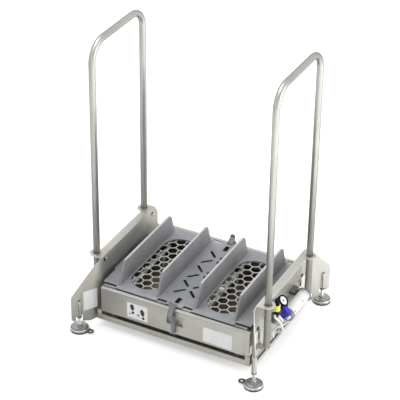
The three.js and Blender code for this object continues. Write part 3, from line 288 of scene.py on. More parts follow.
weld_metal = mottled("weld_metal", (0.20, 0.185, 0.16), (0.36, 0.34, 0.30), 160,
                     (0.30, 0.50), 700, 0.0001, 0.8)
foot_polish = mottled("foot_polish", (0.86, 0.85, 0.82), (0.96, 0.95, 0.92), 30,
                      (0.22, 0.34), 900, 0.00004, 0.8)
rail_steel = mottled("rail_steel", (0.55, 0.545, 0.51), (0.62, 0.615, 0.58), 8,
                     (0.27, 0.38), 1400, 0.00006, 0.85)
shader_of(rail_steel).inputs["Specular Tint"].default_value = (0.35, 0.35, 0.33, 1)
print("metals:", len(bpy.data.materials) - 1)

# %% [markdown]
# Mouldings are even in colour, so their two shades lie close together and their grain is fine. The black and
# the blue ones reflect less than most plastics do, which keeps them deep.

# %% Mouldings, rubber, paper and vinyl
latch_grey = mottled("latch_grey", (0.19, 0.195, 0.20), (0.235, 0.24, 0.245), 90,
                     (0.42, 0.55), 900, 0.0001)
pad_rubber = mottled("pad_rubber", (0.020, 0.020, 0.020), (0.045, 0.044, 0.042), 60,
                     (0.75, 0.9), 700, 0.0002)
white_moulding = mottled("white_moulding", (0.84, 0.84, 0.84), (0.89, 0.89, 0.89), 12,
                         (0.28, 0.38), 300, 0.00005)
pump_skin = mottled("pump_skin", (0.79, 0.79, 0.79), (0.84, 0.84, 0.84), 12,
                    (0.28, 0.38), 300, 0.00005)
tank_skin = mottled("tank_skin", (0.52, 0.53, 0.48), (0.62, 0.63, 0.58), 15,
                    (0.40, 0.55), 500, 0.0001)
dark_moulding = mottled("dark_moulding", (0.055, 0.057, 0.060), (0.085, 0.087, 0.090), 40,
                        (0.40, 0.55), 900, 0.0001)
filter_moulding = mottled("filter_moulding", (0.10, 0.094, 0.094), (0.15, 0.142, 0.142), 40,
                          (0.40, 0.55), 900, 0.0001)
blue_moulding = mottled("blue_moulding", (0.052, 0.048, 0.42), (0.068, 0.062, 0.50), 60,
                        (0.55, 0.66), 900, 0.00006)
yellow_moulding = mottled("yellow_moulding", (0.84, 0.86, 0.14), (0.92, 0.94, 0.19), 60,
                          (0.35, 0.48), 900, 0.00006)
black_moulding = mottled("black_moulding", (0.006, 0.006, 0.007), (0.012, 0.012, 0.013), 60,
                         (0.45, 0.60), 700, 0.00006)
air_tubing = mottled("air_tubing", (0.84, 0.84, 0.83), (0.90, 0.90, 0.89), 30,
                     (0.30, 0.42), 500, 0.00005)
dial_paper = mottled("dial_paper", (0.93, 0.93, 0.93), (0.96, 0.96, 0.96), 90,
                     (0.45, 0.55), 900, 0.00001)
label_vinyl = mottled("label_vinyl", (0.80, 0.80, 0.80), (0.86, 0.86, 0.86), 25,
                      (0.30, 0.42), 200, 0.00003)
shader_of(black_moulding).inputs["Specular IOR Level"].default_value = 0.08
shader_of(blue_moulding).inputs["Specular IOR Level"].default_value = 0.25
print("finishes so far:", len(bpy.data.materials))

# %% [markdown]
# Some pieces are darker at some heights, where little light reaches them or where they mirror something dark.
# A colour ramp over the height on the piece gives the grey that the finish is multiplied by.

# %% Shades that change with height
def mix_into(material, share, colour, blend="MIX"):
    """Mixes a colour into the one that a finish has so far, or multiplies it."""
    tree = material.node_tree
    base = shader_of(material).inputs["Base Color"]
    so_far = base.links[0].from_socket
    feed(tree, base, mixed_colour(tree, share, so_far, colour, blend))


def shaded_by_height(material, stops):
    """Multiplies a finish by a grey that changes with height on the piece, from (height, grey) stops."""
    tree = material.node_tree
    height_here = linked("ShaderNodeSeparateXYZ", tree, object_place(tree)).outputs["Z"]
    low, high = stops[0][0], stops[-1][0]
    ramp = linked("ShaderNodeValToRGB", tree, ranged(tree, height_here, From_Min=low, From_Max=high))
    while len(ramp.color_ramp.elements) < len(stops):
        ramp.color_ramp.elements.new(0.5)
    for element, (height, grey) in zip(ramp.color_ramp.elements, stops):
        element.position = (height - low) / (high - low)
        element.color = (grey, grey, grey, 1)
    mix_into(material, 1, ramp.outputs["Color"], "MULTIPLY")


shaded_by_height(rail_steel, [(0.94, 1.0), (1.10, 0.92), (1.135, 0.80), (1.165, 0.78)])
shaded_by_height(pump_skin, [(0.1360, 0.14), (0.1440, 0.34), (0.1510, 0.78), (0.1590, 0.98), (0.1770, 1.0)])
shaded_by_height(foot_polish, [
    (0.0056, 0.08), (0.0086, 0.10), (0.0090, 0.80), (0.0096, 0.80), (0.0099, 0.07), (0.0113, 0.08),
    (0.0118, 1.0), (0.0151, 1.0), (0.0156, 0.12), (0.0182, 0.16), (0.0187, 0.42), (0.0215, 0.36),
    (0.0300, 0.60),
])
print("rail nodes:", len(rail_steel.node_tree.nodes))

# %% [markdown]
# The deck and the dividers are grey polymer board. Close up the deck shows a fine speckle, and the dividers
# are a darker, more even grey. A second, much finer noise with a hard threshold gives the speckle. The top
# faces of the dividers get a painted highlight: the finish reads a mark that those faces are given further
# on.

# %% Board with a speckle
board_scale, board_grain, board_bump = 14, 420, 0.00018
speck_scale, speck_start, speck_full = 260.0, 0.60, 0.68


def speckled_board(name, dark, light, speck, gloss, amount):
    """Polymer board: mottled, with small specks of another shade laid over it."""
    material = mottled(name, dark, light, board_scale, gloss, board_grain, board_bump, detail=4.0)
    tree = material.node_tree
    specks = noise(tree, object_place(tree), speck_scale, 1.0)
    pick = ranged(tree, specks, From_Min=speck_start, From_Max=speck_full, To_Max=amount)
    mix_into(material, pick, (*speck, 1))
    return material


def lighter_edges(material, mark, light):
    """Paints a highlight: mixes a lighter colour into a finish on the faces that carry a mark."""
    marked = material.node_tree.nodes.new("ShaderNodeAttribute")
    marked.attribute_name = mark
    mix_into(material, marked.outputs["Fac"], (*light, 1))


deck_board = speckled_board("deck_board", (0.28, 0.29, 0.31), (0.33, 0.34, 0.362), (0.46, 0.47, 0.49),
                            (0.45, 0.6), 0.5)
# Below its top face the deck is darker, on its slot walls and edges: painted shade.
shaded_by_height(deck_board, [(0.1785, 0.05), (0.1868, 0.10), (0.1895, 0.85), (0.1912, 1.0)])
divider_board = speckled_board("divider_board", (0.232, 0.234, 0.243), (0.28, 0.282, 0.29),
                               (0.36, 0.36, 0.37), (0.42, 0.56), 0.35)
# The dividers' top faces get a painted highlight, lighter where light falls on them.
lighter_edges(divider_board, "lit_top_face", (0.52, 0.525, 0.53))
print("divider nodes:", len(divider_board.node_tree.nodes))

# %% [markdown]
# The gauge's lens is clear and thin, so it bends light only a little. The collar at the pump's front is
# cloudy: it lets some light through and has a rougher skin.

# %% Clear and cloudy plastics
def clear_plastic(name, tint, roughness, transmission, bending):
    """A see-through plastic. Bending is how strongly it bends light, its IOR."""
    material = new_material(name)
    tree = material.node_tree
    inputs = shader_of(material).inputs
    inputs["Transmission Weight"].default_value = transmission
    inputs["IOR"].default_value = bending
    inputs["Roughness"].default_value = roughness
    haze = noise(tree, object_place(tree), 80.0)
    feed(tree, inputs["Base Color"], mixed_colour(tree, haze, (*[c * 0.98 for c in tint], 1), (*tint, 1)))
    return material


gauge_glass = clear_plastic("gauge_glass", (1.0, 1.0, 1.0), 0.03, 1.0, 1.12)
cloudy_collar = clear_plastic("cloudy_collar", (0.34, 0.34, 0.38), 0.22, 0.25, 1.45)
print("finishes:", sorted(m.name for m in bpy.data.materials))

# %% [markdown]
# ## Sheet metal, board and blocks
# These pieces already have their true shape in the frame. A frame node's mesh is loose triangles, so a copy
# of it is merged, its flat faces are joined up again, and a Bevel modifier rounds its edges a little. A
# real folded or sawn edge is never perfectly sharp, and the thin line of light along it makes the piece
# look solid.

# %% A merged copy with softened edges
merge_distance = 0.00001
flat_angle, sharp_angle = math.radians(0.8), math.radians(32)


def link_piece(name, mesh, body, material):
    """A new piece for a mesh that is already in place, riding on a body."""
    piece = new_object(name, mesh)
    mesh.materials.clear()
    mesh.materials.append(material)
    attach(piece, body)
    return piece


def smooth_faces(mesh):
    """Shades every face of a mesh smooth."""
    for polygon in mesh.polygons:
        polygon.use_smooth = True


def soften(piece, width, segments=2):
    """Rounds every edge that is sharper than the sharp angle, and keeps flat faces flat."""
    smooth_faces(piece.data)
    bevel = piece.modifiers.new("softened_edges", "BEVEL")
    bevel.width = width
    bevel.segments = segments
    bevel.limit_method = "ANGLE"
    bevel.angle_limit = sharp_angle
    bevel.harden_normals = True
    bevel.use_clamp_overlap = True
    return piece


def merged_copy(node):
    """A bmesh of a frame node, with its loose triangles joined."""
    builder = bmesh.new()
    builder.from_mesh(nodes[node].data)
    bmesh.ops.remove_doubles(builder, verts=builder.verts, dist=merge_distance)
    return builder


def dressed_copy(node, material, width=0.0005, segments=2, shape=None):
    """A copy of a frame node, with soft edges and a finish, shown in the node's place."""
    name = node + "_dressed"
    builder = merged_copy(node)
    if shape:
        shape(builder)
    bmesh.ops.dissolve_limit(builder, angle_limit=flat_angle, verts=builder.verts, edges=builder.edges)
    piece = link_piece(name, finished_mesh(builder, name), body_of_node[node], material)
    soften(piece, width, segments)
    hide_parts(node)


dressed_copy("deck_plate", deck_board, 0.0009)
print("deck faces:", len(bpy.data.meshes["deck_plate_dressed"].polygons))

# %% [markdown]
# Each side plate's top edge falls from the end of its ears to the bend of its nose. A cut across the plate at
# the end of the ear gives the edge a corner there, and the corners beyond it are moved down.

# %% Side plates with lowered corners
sides = (("left", -1), ("right", 1))
ends = (("front", -1), ("rear", 1))
corners = [(f"{end_name}_{side_name}", side, end) for end_name, end in ends for side_name, side in sides]
ear_end, plate_top = 0.210, 0.283
corner_drop = {"front_left": 0.008, "rear_left": 0.034, "front_right": 0.008, "rear_right": 0.008}


def lower_corners(side_name):
    """What to do to a side plate to lower its top edge towards its noses."""
    def shape(builder):
        for end_name, end in ends:
            everything = builder.verts[:] + builder.edges[:] + builder.faces[:]
            bmesh.ops.bisect_plane(builder, geom=everything, dist=merge_distance,
                                   plane_co=(0, end * ear_end, 0), plane_no=(0, 1, 0))
            for vert in builder.verts:
                if end * vert.co.y > ear_end + 0.002 and vert.co.z > plate_top - 0.001:
                    vert.co.z -= corner_drop[f"{end_name}_{side_name}"]
    return shape


dressed_copy("side_plate_left", blasted_steel, 0.0005, 2, lower_corners("left"))
dressed_copy("side_plate_right", right_plate_lit_steel, 0.0005, 2, lower_corners("right"))
print("corner drops:", corner_drop)

# %% [markdown]
# The other pieces of sheet and board, and the spray manifolds, are dressed as they are. The dividers' top
# faces get the mark where their finish paints a highlight.

# %% Tread box, dividers and brackets
facing_up = 0.9


def mark_edges(builder):
    """Marks the upward faces of a standing board, where its finish paints a highlight."""
    builder.normal_update()
    mark = builder.faces.layers.float.new("lit_top_face")
    for face in builder.faces:
        face[mark] = 1.0 if face.normal.z > facing_up else 0.0


for side_name, side in sides:
    dressed_copy("box_wall_" + side_name, blasted_steel, 0.0004)
    dressed_copy("grating_" + side_name, grate_steel, 0.0003, 1)
    dressed_copy("spray_manifold_" + side_name, white_moulding, 0.0006)
for end_name, end in ends:
    dressed_copy(end_name + "_cross_rail", blasted_steel, 0.0005)
    dressed_copy("box_panel_" + end_name, blasted_steel, 0.0005)
    dressed_copy("latch_" + end_name, latch_grey, 0.0010, 3)
for place in ("outer_left", "inner_left", "inner_right", "outer_right"):
    dressed_copy("divider_" + place, divider_board, 0.0013, 3, mark_edges)
dressed_copy("drip_pan", stained_steel, 0.0005)
dressed_copy("regulator_bracket", blasted_steel, 0.0004)
dressed_copy("pump_saddles", blasted_steel, 0.0004)

# %% [markdown]
# Blocks and mouldings are dressed in the same way. The pilot block's top is taken down, so that the pump
# hides half of it, as it does in the photo.

# %% Blocks and mouldings
block_shoulder, block_drop = 0.187, 0.014


def lower_top(builder):
    """Takes the pilot block's top face down."""
    for vert in builder.verts:
        if vert.co.z > block_shoulder:
            vert.co.z -= block_drop


dressed_copy("pilot_block", filter_moulding, 0.0012, 2, lower_top)
dressed_copy("air_filter", filter_moulding, 0.0008)
dressed_copy("shutoff_valve", black_moulding, 0.0005)
dressed_copy("regulator_body", blue_moulding, 0.0015, 3)
dressed_copy("regulator_knob", white_moulding, 0.0006)
dressed_copy("solution_tank", tank_skin, 0.004, 3)
dressed_copy("tank_cap", dark_moulding, 0.001)
dressed_copy("foot_valve", dark_moulding, 0.0008)
dressed_copy("valve_plunger", turned_steel, 0.0004)
for label, side, end in corners:
    dressed_copy("foot_lock_nut_" + label, dark_steel, 0.0006)
    dressed_copy("foot_pad_" + label, pad_rubber, 0.0008)

# %% [markdown]
# ## Handrails
# Each handrail is one stainless tube bent twice. A ring of 32 points is extruded up the front post, spun
# round the first bend, extruded along the top, spun again and extruded down. Solidify then gives the tube
# its wall.

# %% Handrail tubes
quarter_turn = math.pi / 2
tube_radius, tube_wall, bend_steps = 0.0127, 0.0017, 20
post_x, post_y, post_foot, rail_top, rail_bend = 0.3586, 0.183, 0.094, 1.150, 0.076


def newest(result, kind, key="geom"):
    """The new vertices or edges in an operator's result."""
    return [item for item in result[key] if isinstance(item, kind)]


def extrude_ring(builder, ring, move):
    """Extrudes an open ring of edges by a straight move and gives the new ring."""
    made = bmesh.ops.extrude_edge_only(builder, edges=ring)
    bmesh.ops.translate(builder, verts=newest(made, bmesh.types.BMVert), vec=move)
    return newest(made, bmesh.types.BMEdge)


def bend_ring(builder, ring, centre):
    """Spins an open ring of edges a quarter turn towards the rear and gives the last ring."""
    verts = list(dict.fromkeys(vert for edge in ring for vert in edge.verts))
    made = bmesh.ops.spin(builder, geom=verts + ring, cent=centre, axis=(-1, 0, 0), dvec=(0, 0, 0),
                          angle=quarter_turn, steps=bend_steps, use_merge=False, use_duplicate=False)
    return newest(made, bmesh.types.BMEdge, "geom_last")


def handrail(name, side):
    """A handrail's tube, from the foot of the front post to the foot of the rear one."""
    x, bend_height = side * post_x, rail_top - rail_bend
    builder = bmesh.new()
    made = bmesh.ops.create_circle(builder, cap_ends=False, segments=32, radius=tube_radius)
    bmesh.ops.translate(builder, verts=made["verts"], vec=(x, -post_y, post_foot))
    ring = extrude_ring(builder, list(builder.edges), (0, 0, bend_height - post_foot))
    ring = bend_ring(builder, ring, (x, rail_bend - post_y, bend_height))
    ring = extrude_ring(builder, ring, (0, 2 * (post_y - rail_bend), 0))
    ring = bend_ring(builder, ring, (x, post_y - rail_bend, bend_height))
    extrude_ring(builder, ring, (0, 0, post_foot - bend_height))
    bmesh.ops.remove_doubles(builder, verts=builder.verts, dist=merge_distance)
    bmesh.ops.recalc_face_normals(builder, faces=builder.faces)
    tube = link_piece(name, finished_mesh(builder, name), "frame", rail_steel)
    smooth_faces(tube.data)
    wall = tube.modifiers.new("tube_wall", "SOLIDIFY")
    wall.thickness = tube_wall
    wall.offset = -1
    return tube


for side_name, side in sides:
    tube = handrail("handrail_tube_" + side_name, side)
    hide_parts("handrail_" + side_name)
    print(tube.name, "faces:", len(tube.data.polygons))

# %% [markdown]
# Under each post a plate and a rib are welded to the side plate. Both are blocks between two corners.

# %% Foot plates and ribs
web_outer = 0.3265
seat_bottom, seat_top = 0.077, 0.102
plate_near, plate_far, plate_half_width = web_outer + 0.0003, web_outer + 0.0033, 0.014
rib_near, rib_far, rib_half_width = web_outer + 0.0030, post_x - tube_radius + 0.0006, 0.0025


def box_piece(name, corner, far_corner, body):
    """A steel block between two opposite corners, made from a cube, with soft edges."""
    low, high = zip(*[sorted(pair) for pair in zip(corner, far_corner)])
    builder = bmesh.new()
    made = bmesh.ops.create_cube(builder, size=1)["verts"]
    bmesh.ops.scale(builder, verts=made, vec=[b - a for a, b in zip(low, high)])
    bmesh.ops.translate(builder, verts=made, vec=[(a + b) / 2 for a, b in zip(low, high)])
    return soften(link_piece(name, finished_mesh(builder, name), body, blasted_steel), 0.0005)


for label, side, end in corners:
    box_piece("post_plate_" + label, (side * plate_near, end * post_y - plate_half_width, seat_bottom),
              (side * plate_far, end * post_y + plate_half_width, seat_top), "frame")
    box_piece("post_rib_" + label, (side * rib_near, end * post_y - rib_half_width, seat_bottom),
              (side * rib_far, end * post_y + rib_half_width, seat_top), "frame")
print("post seats:", len(corners))

# %% [markdown]
# Where a post passes the side plate's ear there is a weld. A weld is a small ring with an uneven skin, so
# it is a circle that stands upright and is spun round the post. A ripple then swells it here and there.

# %% Welds
weld_radius, weld_bead, weld_height = tube_radius + 0.0012, 0.0017, 0.2834
ripples, ripple_depth = 26, 0.13
full_turn = 2 * math.pi


def upright_circle(builder, segments, radius, middle):
    """A circle of edges in the XZ plane, round a place beside the axis that it will be spun round."""
    made = bmesh.ops.create_circle(builder, cap_ends=False, segments=segments, radius=radius)["verts"]
    bmesh.ops.rotate(builder, verts=made, cent=(0, 0, 0), matrix=Matrix.Rotation(quarter_turn, 3, "X"))
    bmesh.ops.translate(builder, verts=made, vec=middle)


def spin_round(builder, steps):
    """Spins all that a bmesh holds once round Z, where the last step meets the first."""
    bmesh.ops.spin(builder, geom=builder.verts[:] + builder.edges[:], cent=(0, 0, 0), axis=(0, 0, 1),
                   dvec=(0, 0, 0), angle=full_turn, steps=steps, use_merge=True, use_duplicate=False)


def weld_ring(name, centre):
    """A bead round a post, with a ripple along it."""
    builder = bmesh.new()
    upright_circle(builder, 8, weld_bead, (weld_radius, 0, 0))
    spin_round(builder, 4 * ripples)
    for vert in builder.verts:
        around = math.atan2(vert.co.y, vert.co.x)
        swell = 1 + ripple_depth * math.sin(ripples * around)
        middle = Vector((weld_radius * math.cos(around), weld_radius * math.sin(around), 0))
        vert.co = middle + (vert.co - middle) * swell + Vector(centre)
    bmesh.ops.recalc_face_normals(builder, faces=builder.faces)
    mesh = finished_mesh(builder, name)
    smooth_faces(mesh)
    return link_piece(name, mesh, "frame", weld_metal)


for label, side, end in corners:
    weld_ring("ear_weld_" + label, (side * post_x, end * post_y, weld_height))

# %% [markdown]
# ## Turned pieces
# Feet, gauge, pump and sleeve are all turned or moulded round. Each starts as one outline of points from the
# axis out and back, and spin carries it once round. Its last edge lands on the first and is merged with it.
# A foot is a cup in two tiers, with a neck that holds its stem.

# %% Turning an outline, and the feet
def turned_mesh(name, outline, steps=48):
    """A mesh spun from an outline of (radius, height) points round Z."""
    builder = bmesh.new()
    verts = [builder.verts.new((radius, 0, height)) for radius, height in outline]
    for pair in zip(verts, verts[1:]):
        builder.edges.new(pair)
    spin_round(builder, steps)
    bmesh.ops.remove_doubles(builder, verts=builder.verts, dist=merge_distance / 2)
    bmesh.ops.recalc_face_normals(builder, faces=builder.faces)
    return finished_mesh(builder, name)


def turned_piece(name, outline, material, at, steps=48, width=0.0004, body="frame"):
    """A turned piece, moved to its place by a matrix."""
    mesh = turned_mesh(name, outline, steps)
    mesh.transform(at)
    return soften(link_piece(name, mesh, body, material), width)


foot_x, foot_y = 0.368149, 0.306334
foot_places = {label: Vector((side * foot_x, end * foot_y, 0)) for label, side, end in corners}
cup_outline = [
    (0, 0.0058), (0.0362, 0.0058), (0.0370, 0.0066), (0.0370, 0.0086), (0.0364, 0.0092),
    (0.0342, 0.0095), (0.0336, 0.0100), (0.0336, 0.0108), (0.0344, 0.0114), (0.0348, 0.0122),
    (0.0348, 0.0142), (0.0343, 0.0150), (0.0331, 0.0162), (0.0315, 0.0182), (0.0304, 0.0186),
    (0.0118, 0.0206), (0.0110, 0.0214), (0.0110, 0.0290), (0.0102, 0.0300), (0.0063, 0.0300),
    (0.0063, 0.0120), (0, 0.0120),
]
for label, spot in foot_places.items():
    at = Matrix.Translation(spot)
    cup = turned_piece("foot_dome_" + label, cup_outline, foot_polish, at, 64,
                       body="foot_" + label)
    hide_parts("foot_cup_" + label)
print("foot domes:", len(foot_places))

# %% [markdown]
# Each foot has an ear with a hole for a floor anchor. The ear is drawn as two rings, one for the hole and one
# for the rim, with the rim's near half pulled back to the cup. Bridging the two rings makes the flat face.

# %% Anchor ears
anchor_hole, anchor_rim, anchor_reach = 0.006, 0.013, 0.024
anchor_out, anchor_bottom, anchor_thickness = 0.048, 0.0058, 0.0034


def thickened(builder, name, thickness, at):
    """A mesh of the flat faces in a bmesh, given a thickness and moved to their place by a matrix."""
    made = bmesh.ops.extrude_face_region(builder, geom=builder.faces[:])
    bmesh.ops.translate(builder, verts=newest(made, bmesh.types.BMVert), vec=(0, 0, thickness))
    bmesh.ops.recalc_face_normals(builder, faces=builder.faces)
    bmesh.ops.transform(builder, matrix=at, verts=builder.verts)
    return finished_mesh(builder, name)


def anchor_ear(name, centre, inward, body):
    """A flat ear with a hole, that reaches from the hole back under the cup's edge."""
    builder = bmesh.new()
    bmesh.ops.create_circle(builder, cap_ends=False, segments=40, radius=anchor_hole)
    rim = bmesh.ops.create_circle(builder, cap_ends=False, segments=40, radius=anchor_rim)["verts"]
    for vert in rim:
        if vert.co.x < -0.0001:
            vert.co.x -= anchor_reach
    bmesh.ops.bridge_loops(builder, edges=builder.edges[:])
    bmesh.ops.scale(builder, verts=builder.verts, vec=(inward, 1, 1))
    mesh = thickened(builder, name, anchor_thickness, Matrix.Translation(centre))
    return soften(link_piece(name, mesh, body, dark_steel), 0.0005)


for label, side, end in corners:
    anchor_ear("anchor_ear_" + label, (side * (foot_x - anchor_out), end * foot_y, anchor_bottom), -side,
               "foot_" + label)
print("anchor ears:", len(corners))

# %% [markdown]
# A stem has a fine thread that shows only as bright and dark lines. So its outline goes in and out once a
# turn, which makes rings and not a true helix, and at this size the eye reads them as a thread.

# %% Threaded stems
stem_bottom, stem_top, stem_radius = 0.0123, 0.118, 0.006
thread_pitch, thread_depth = 0.00175, 0.0007


def threaded_stem(name):
    """A stem whose outline goes in and out once a turn of thread."""
    core = stem_radius - thread_depth
    outline = [(0, stem_bottom), (core, stem_bottom)]
    height = stem_bottom + thread_pitch / 2
    while height < stem_top - thread_pitch:
        outline += [(stem_radius, height), (core, height + thread_pitch / 2)]
        height += thread_pitch
    outline += [(core, stem_top), (0, stem_top)]
    return turned_mesh(name, outline, 20)


for label, spot in foot_places.items():
    mesh = threaded_stem("foot_thread_" + label)
    mesh.transform(Matrix.Translation(spot))
    stem = link_piece("foot_thread_" + label, mesh, "foot_" + label, turned_steel)
    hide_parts("foot_stem_" + label)
print("stem faces:", len(mesh.polygons))

# %% [markdown]
# ## Springs
# A coil spring is a small circle carried round and up at once. Spin does both: its dvec lifts each step. The
# platform closes the springs when it is pressed.

# %% Springs under the tread box
coil_radius, wire_radius, coil_bottom, coil_top = 0.013, 0.0016, 0.0389, 0.0781
turns, turn_steps = 5, 28
spring_x, spring_y, spring_seat, pressed_share = 0.262, 0.222, 0.0373, 0.811


def coil_spring(name, x, y):
    """An open coil between the cross rail and the tread box."""
    builder = bmesh.new()
    upright_circle(builder, 10, wire_radius, (coil_radius, 0, coil_bottom))
    steps = turns * turn_steps
    rise = (coil_top - coil_bottom) / steps
    bmesh.ops.spin(builder, geom=builder.verts[:] + builder.edges[:], cent=(0, 0, 0), axis=(0, 0, 1),
                   dvec=(0, 0, rise), angle=full_turn * turns, steps=steps, use_merge=False,
                   use_duplicate=False)
    bmesh.ops.holes_fill(builder, edges=[edge for edge in builder.edges if edge.is_boundary], sides=0)
    bmesh.ops.recalc_face_normals(builder, faces=builder.faces)
    bmesh.ops.translate(builder, verts=builder.verts, vec=(x, y, 0))
    mesh = finished_mesh(builder, name)
    smooth_faces(mesh)
    return link_piece(name, mesh, "frame", drawn_wire)


for label, side, end in corners:
    x, y = side * spring_x, end * spring_y
    coil = coil_spring("spring_coil_" + label, x, y)
    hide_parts("spring_" + label)
    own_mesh(coil)
print("spring faces:", len(coil.data.polygons))

# %% [markdown]
# ## Air gauge
# The gauge tilts up at 45 degrees to face the user. It is built upright on its own axis and then turned into
# place by one matrix. It has a black case and bezel, a white dial, a needle and a thin clear lens.

# %% Gauge case, dial and lens
def placed(spot, angle, axis):
    """The matrix that turns a thing round an axis and moves it to a spot."""
    return Matrix.Translation(spot) @ Matrix.Rotation(angle, 4, axis)


gauge_place = placed((0.360045, -0.075, 0.228018), math.pi / 4, "Y")
case_outline = [
    (0, 0), (0.0206, 0), (0.0216, 0.001), (0.0216, 0.0108), (0.0222, 0.0112), (0.0228, 0.0118),
    (0.0228, 0.0172), (0.0221, 0.018), (0.0176, 0.018), (0.0169, 0.0174), (0.0168, 0.0152), (0, 0.0152),
]
case = turned_piece("gauge_shell", case_outline, black_moulding, gauge_place, 64)
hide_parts("gauge_case")
dial_outline = [(0, 0.01525), (0.0166, 0.01525), (0.0166, 0.0155), (0, 0.0155)]
turned_piece("gauge_dial", dial_outline, dial_paper, gauge_place, 64, 0.00002)
lens_outline = [(0, 0.0170), (0.0166, 0.0170), (0.0166, 0.0172), (0.010, 0.0176), (0, 0.0178)]
turned_piece("gauge_lens", lens_outline, gauge_glass, gauge_place, 64, 0.00005)
print("gauge case faces:", len(case.data.polygons))

# %% [markdown]
# The dial reads from 0 to 10. Three ticks make one unit, and every fifth tick is a longer one. A
# number is a text made a mesh, with a hair of thickness so that it is a closed solid like the rest.

# %% Ticks and numbers on the dial
zero_mark, tick_gap, full_mark, ticks_per_unit = -45, 9, 30, 3
tick_height, number_height, number_radius, number_size = 0.01558, 0.0156, 0.0106, 0.0040
long_tick, long_tick_out = (0.0028, 0.0006, 0.0001), 0.0146
short_tick, short_tick_out = (0.0017, 0.0004, 0.0001), 0.0152


def dial_angle(step):
    """The angle of a tick on the dial, clockwise from the zero mark."""
    return math.radians(zero_mark - tick_gap * step)


def dial_ticks(name):
    """Short bars round the dial, from the zero mark clockwise to the full mark."""
    builder = bmesh.new()
    for step in range(full_mark + 1):
        long = step % 5 == 0
        made = bmesh.ops.create_cube(builder, size=1)["verts"]
        size, out = (long_tick, long_tick_out) if long else (short_tick, short_tick_out)
        bmesh.ops.scale(builder, verts=made, vec=size)
        bmesh.ops.translate(builder, verts=made, vec=(out, 0, tick_height))
        turn = Matrix.Rotation(dial_angle(step), 3, "Z")
        bmesh.ops.rotate(builder, verts=made, cent=(0, 0, 0), matrix=turn)
    bmesh.ops.transform(builder, matrix=gauge_place, verts=builder.verts)
    return link_piece(name, finished_mesh(builder, name), "frame", black_moulding)


def mesh_of_curve(curve):
    """The mesh that a text or a curve gives."""
    carrier = bpy.data.objects.new(curve.name, curve)
    mesh = bpy.data.meshes.new_from_object(carrier)
    bpy.data.objects.remove(carrier)
    return mesh


def dial_number(value):
    """One number on the dial, as a thin solid."""
    name = f"gauge_number_{value}"
    curve = bpy.data.curves.new(name + "_text", "FONT")
    curve.body = str(value)
    curve.size = number_size
    curve.extrude = 0.00004
    curve.align_x = "CENTER"
    curve.align_y = "CENTER"
    mesh = mesh_of_curve(curve)
    angle = dial_angle(value * ticks_per_unit)
    spot = (number_radius * math.cos(angle), number_radius * math.sin(angle), number_height)
    mesh.transform(gauge_place @ placed(spot, quarter_turn, "Z"))
    return link_piece(name, mesh, "frame", black_moulding)


dial_ticks("gauge_ticks")
for value in range(0, full_mark // ticks_per_unit + 1, 2):
    dial_number(value)
dressed_copy("gauge_needle", black_moulding, 0.0001, 1)
hub_outline = [(0, 0.0156), (0.0036, 0.0156), (0.0040, 0.0160), (0.0032, 0.0168), (0, 0.0169)]
turned_piece("gauge_hub", hub_outline, black_moulding, gauge_place, 24, 0.0001,
             body_of_node["gauge_needle"])

# %% [markdown]
# ## Gauge elbow and yellow sleeve
# An elbow of two plain rods joins the gauge to the regulator. The yellow sleeve shuts the air off by hand: it
# is a ring with a grip between two raised edges, open through its middle.

# %% Gauge elbow and shut-off sleeve
def rod_outline(radius, length):
    """The outline of a plain rod."""
    return [(0, 0), (radius, 0), (radius, length), (0, length)]


regulator_place = placed((0.3715, 0, 0.1805), math.pi / 4, "Y")
elbow_across = regulator_place @ placed((-0.0467, -0.0697, 0), quarter_turn, "Y")
turned_piece("gauge_elbow_across", rod_outline(0.005, 0.0264), black_moulding,
             elbow_across, 24)
elbow_up = gauge_place @ Matrix.Translation((0, 0.0053, -0.0255))
turned_piece("gauge_elbow_up", rod_outline(0.005, 0.0258), black_moulding, elbow_up, 24)
sleeve_place = Matrix.Translation((0.364, -0.116, 0.219))
sleeve_outline = [
    (0.0093, 0), (0.0122, 0), (0.0130, 0.0008), (0.0130, 0.0072), (0.0118, 0.0082), (0.0118, 0.0158),
    (0.0130, 0.0168), (0.0130, 0.0232), (0.0122, 0.024), (0.0093, 0.024), (0.0093, 0),
]
sleeve = turned_piece("yellow_sleeve", sleeve_outline, yellow_moulding, sleeve_place,
                      body="shutoff")
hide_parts("shutoff_sleeve")
print("sleeve faces:", len(sleeve.data.polygons))

# %% [markdown]
# ## Pump
# The pump pushes the solution to the nozzles. It is a white tube with moulded end caps, dark bands where they
# meet the tube, and a clamp at the rear. A cloudy collar shows at its front, round the regulator's outlet.

# %% Pump body, caps and collar
def ring_outline(inner, outer, start, stop):
    """The outline of a plain ring."""
    return [(inner, start), (outer, start), (outer, stop), (inner, stop), (inner, start)]


pump_axis = placed((0.375, -0.046, 0.152), -quarter_turn, "X")
cap_outline = [
    (0, 0), (0.0200, 0), (0.0235, 0.0016), (0.0250, 0.005), (0.0250, 0.0142), (0.0243, 0.0150), (0, 0.0150),
]
tube_outline = [
    (0, 0.0151), (0.0238, 0.0151), (0.0238, 0.0165), (0.0249, 0.0173), (0.0249, 0.1407), (0.0240, 0.1415),
    (0.0240, 0.1430), (0.0250, 0.1438), (0.0250, 0.153), (0.0240, 0.1560), (0.0205, 0.1578), (0, 0.158),
]
pump_cap = turned_piece("pump_front_cap", cap_outline, cloudy_collar, pump_axis, 72, 0.0003)
pump = turned_piece("pump_tube", tube_outline, pump_skin, pump_axis, 72, 0.0003)
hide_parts("pump_cylinder")
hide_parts("pump_cylinder")
band_outlines = {
    "pump_front_band": ring_outline(0.0240, 0.0253, 0.0151, 0.0168),
    "pump_rear_band": ring_outline(0.0239, 0.0249, 0.1413, 0.1433),
    "pump_rear_clamp": [(0.0238, 0.1525), (0.0276, 0.1525), (0.0280, 0.1530), (0.0280, 0.1572),
                        (0.0276, 0.1577), (0.0238, 0.1577), (0.0238, 0.1525)],
}
for name, outline in band_outlines.items():
    turned_piece(name, outline, filter_moulding, pump_axis, 72, 0.0001)
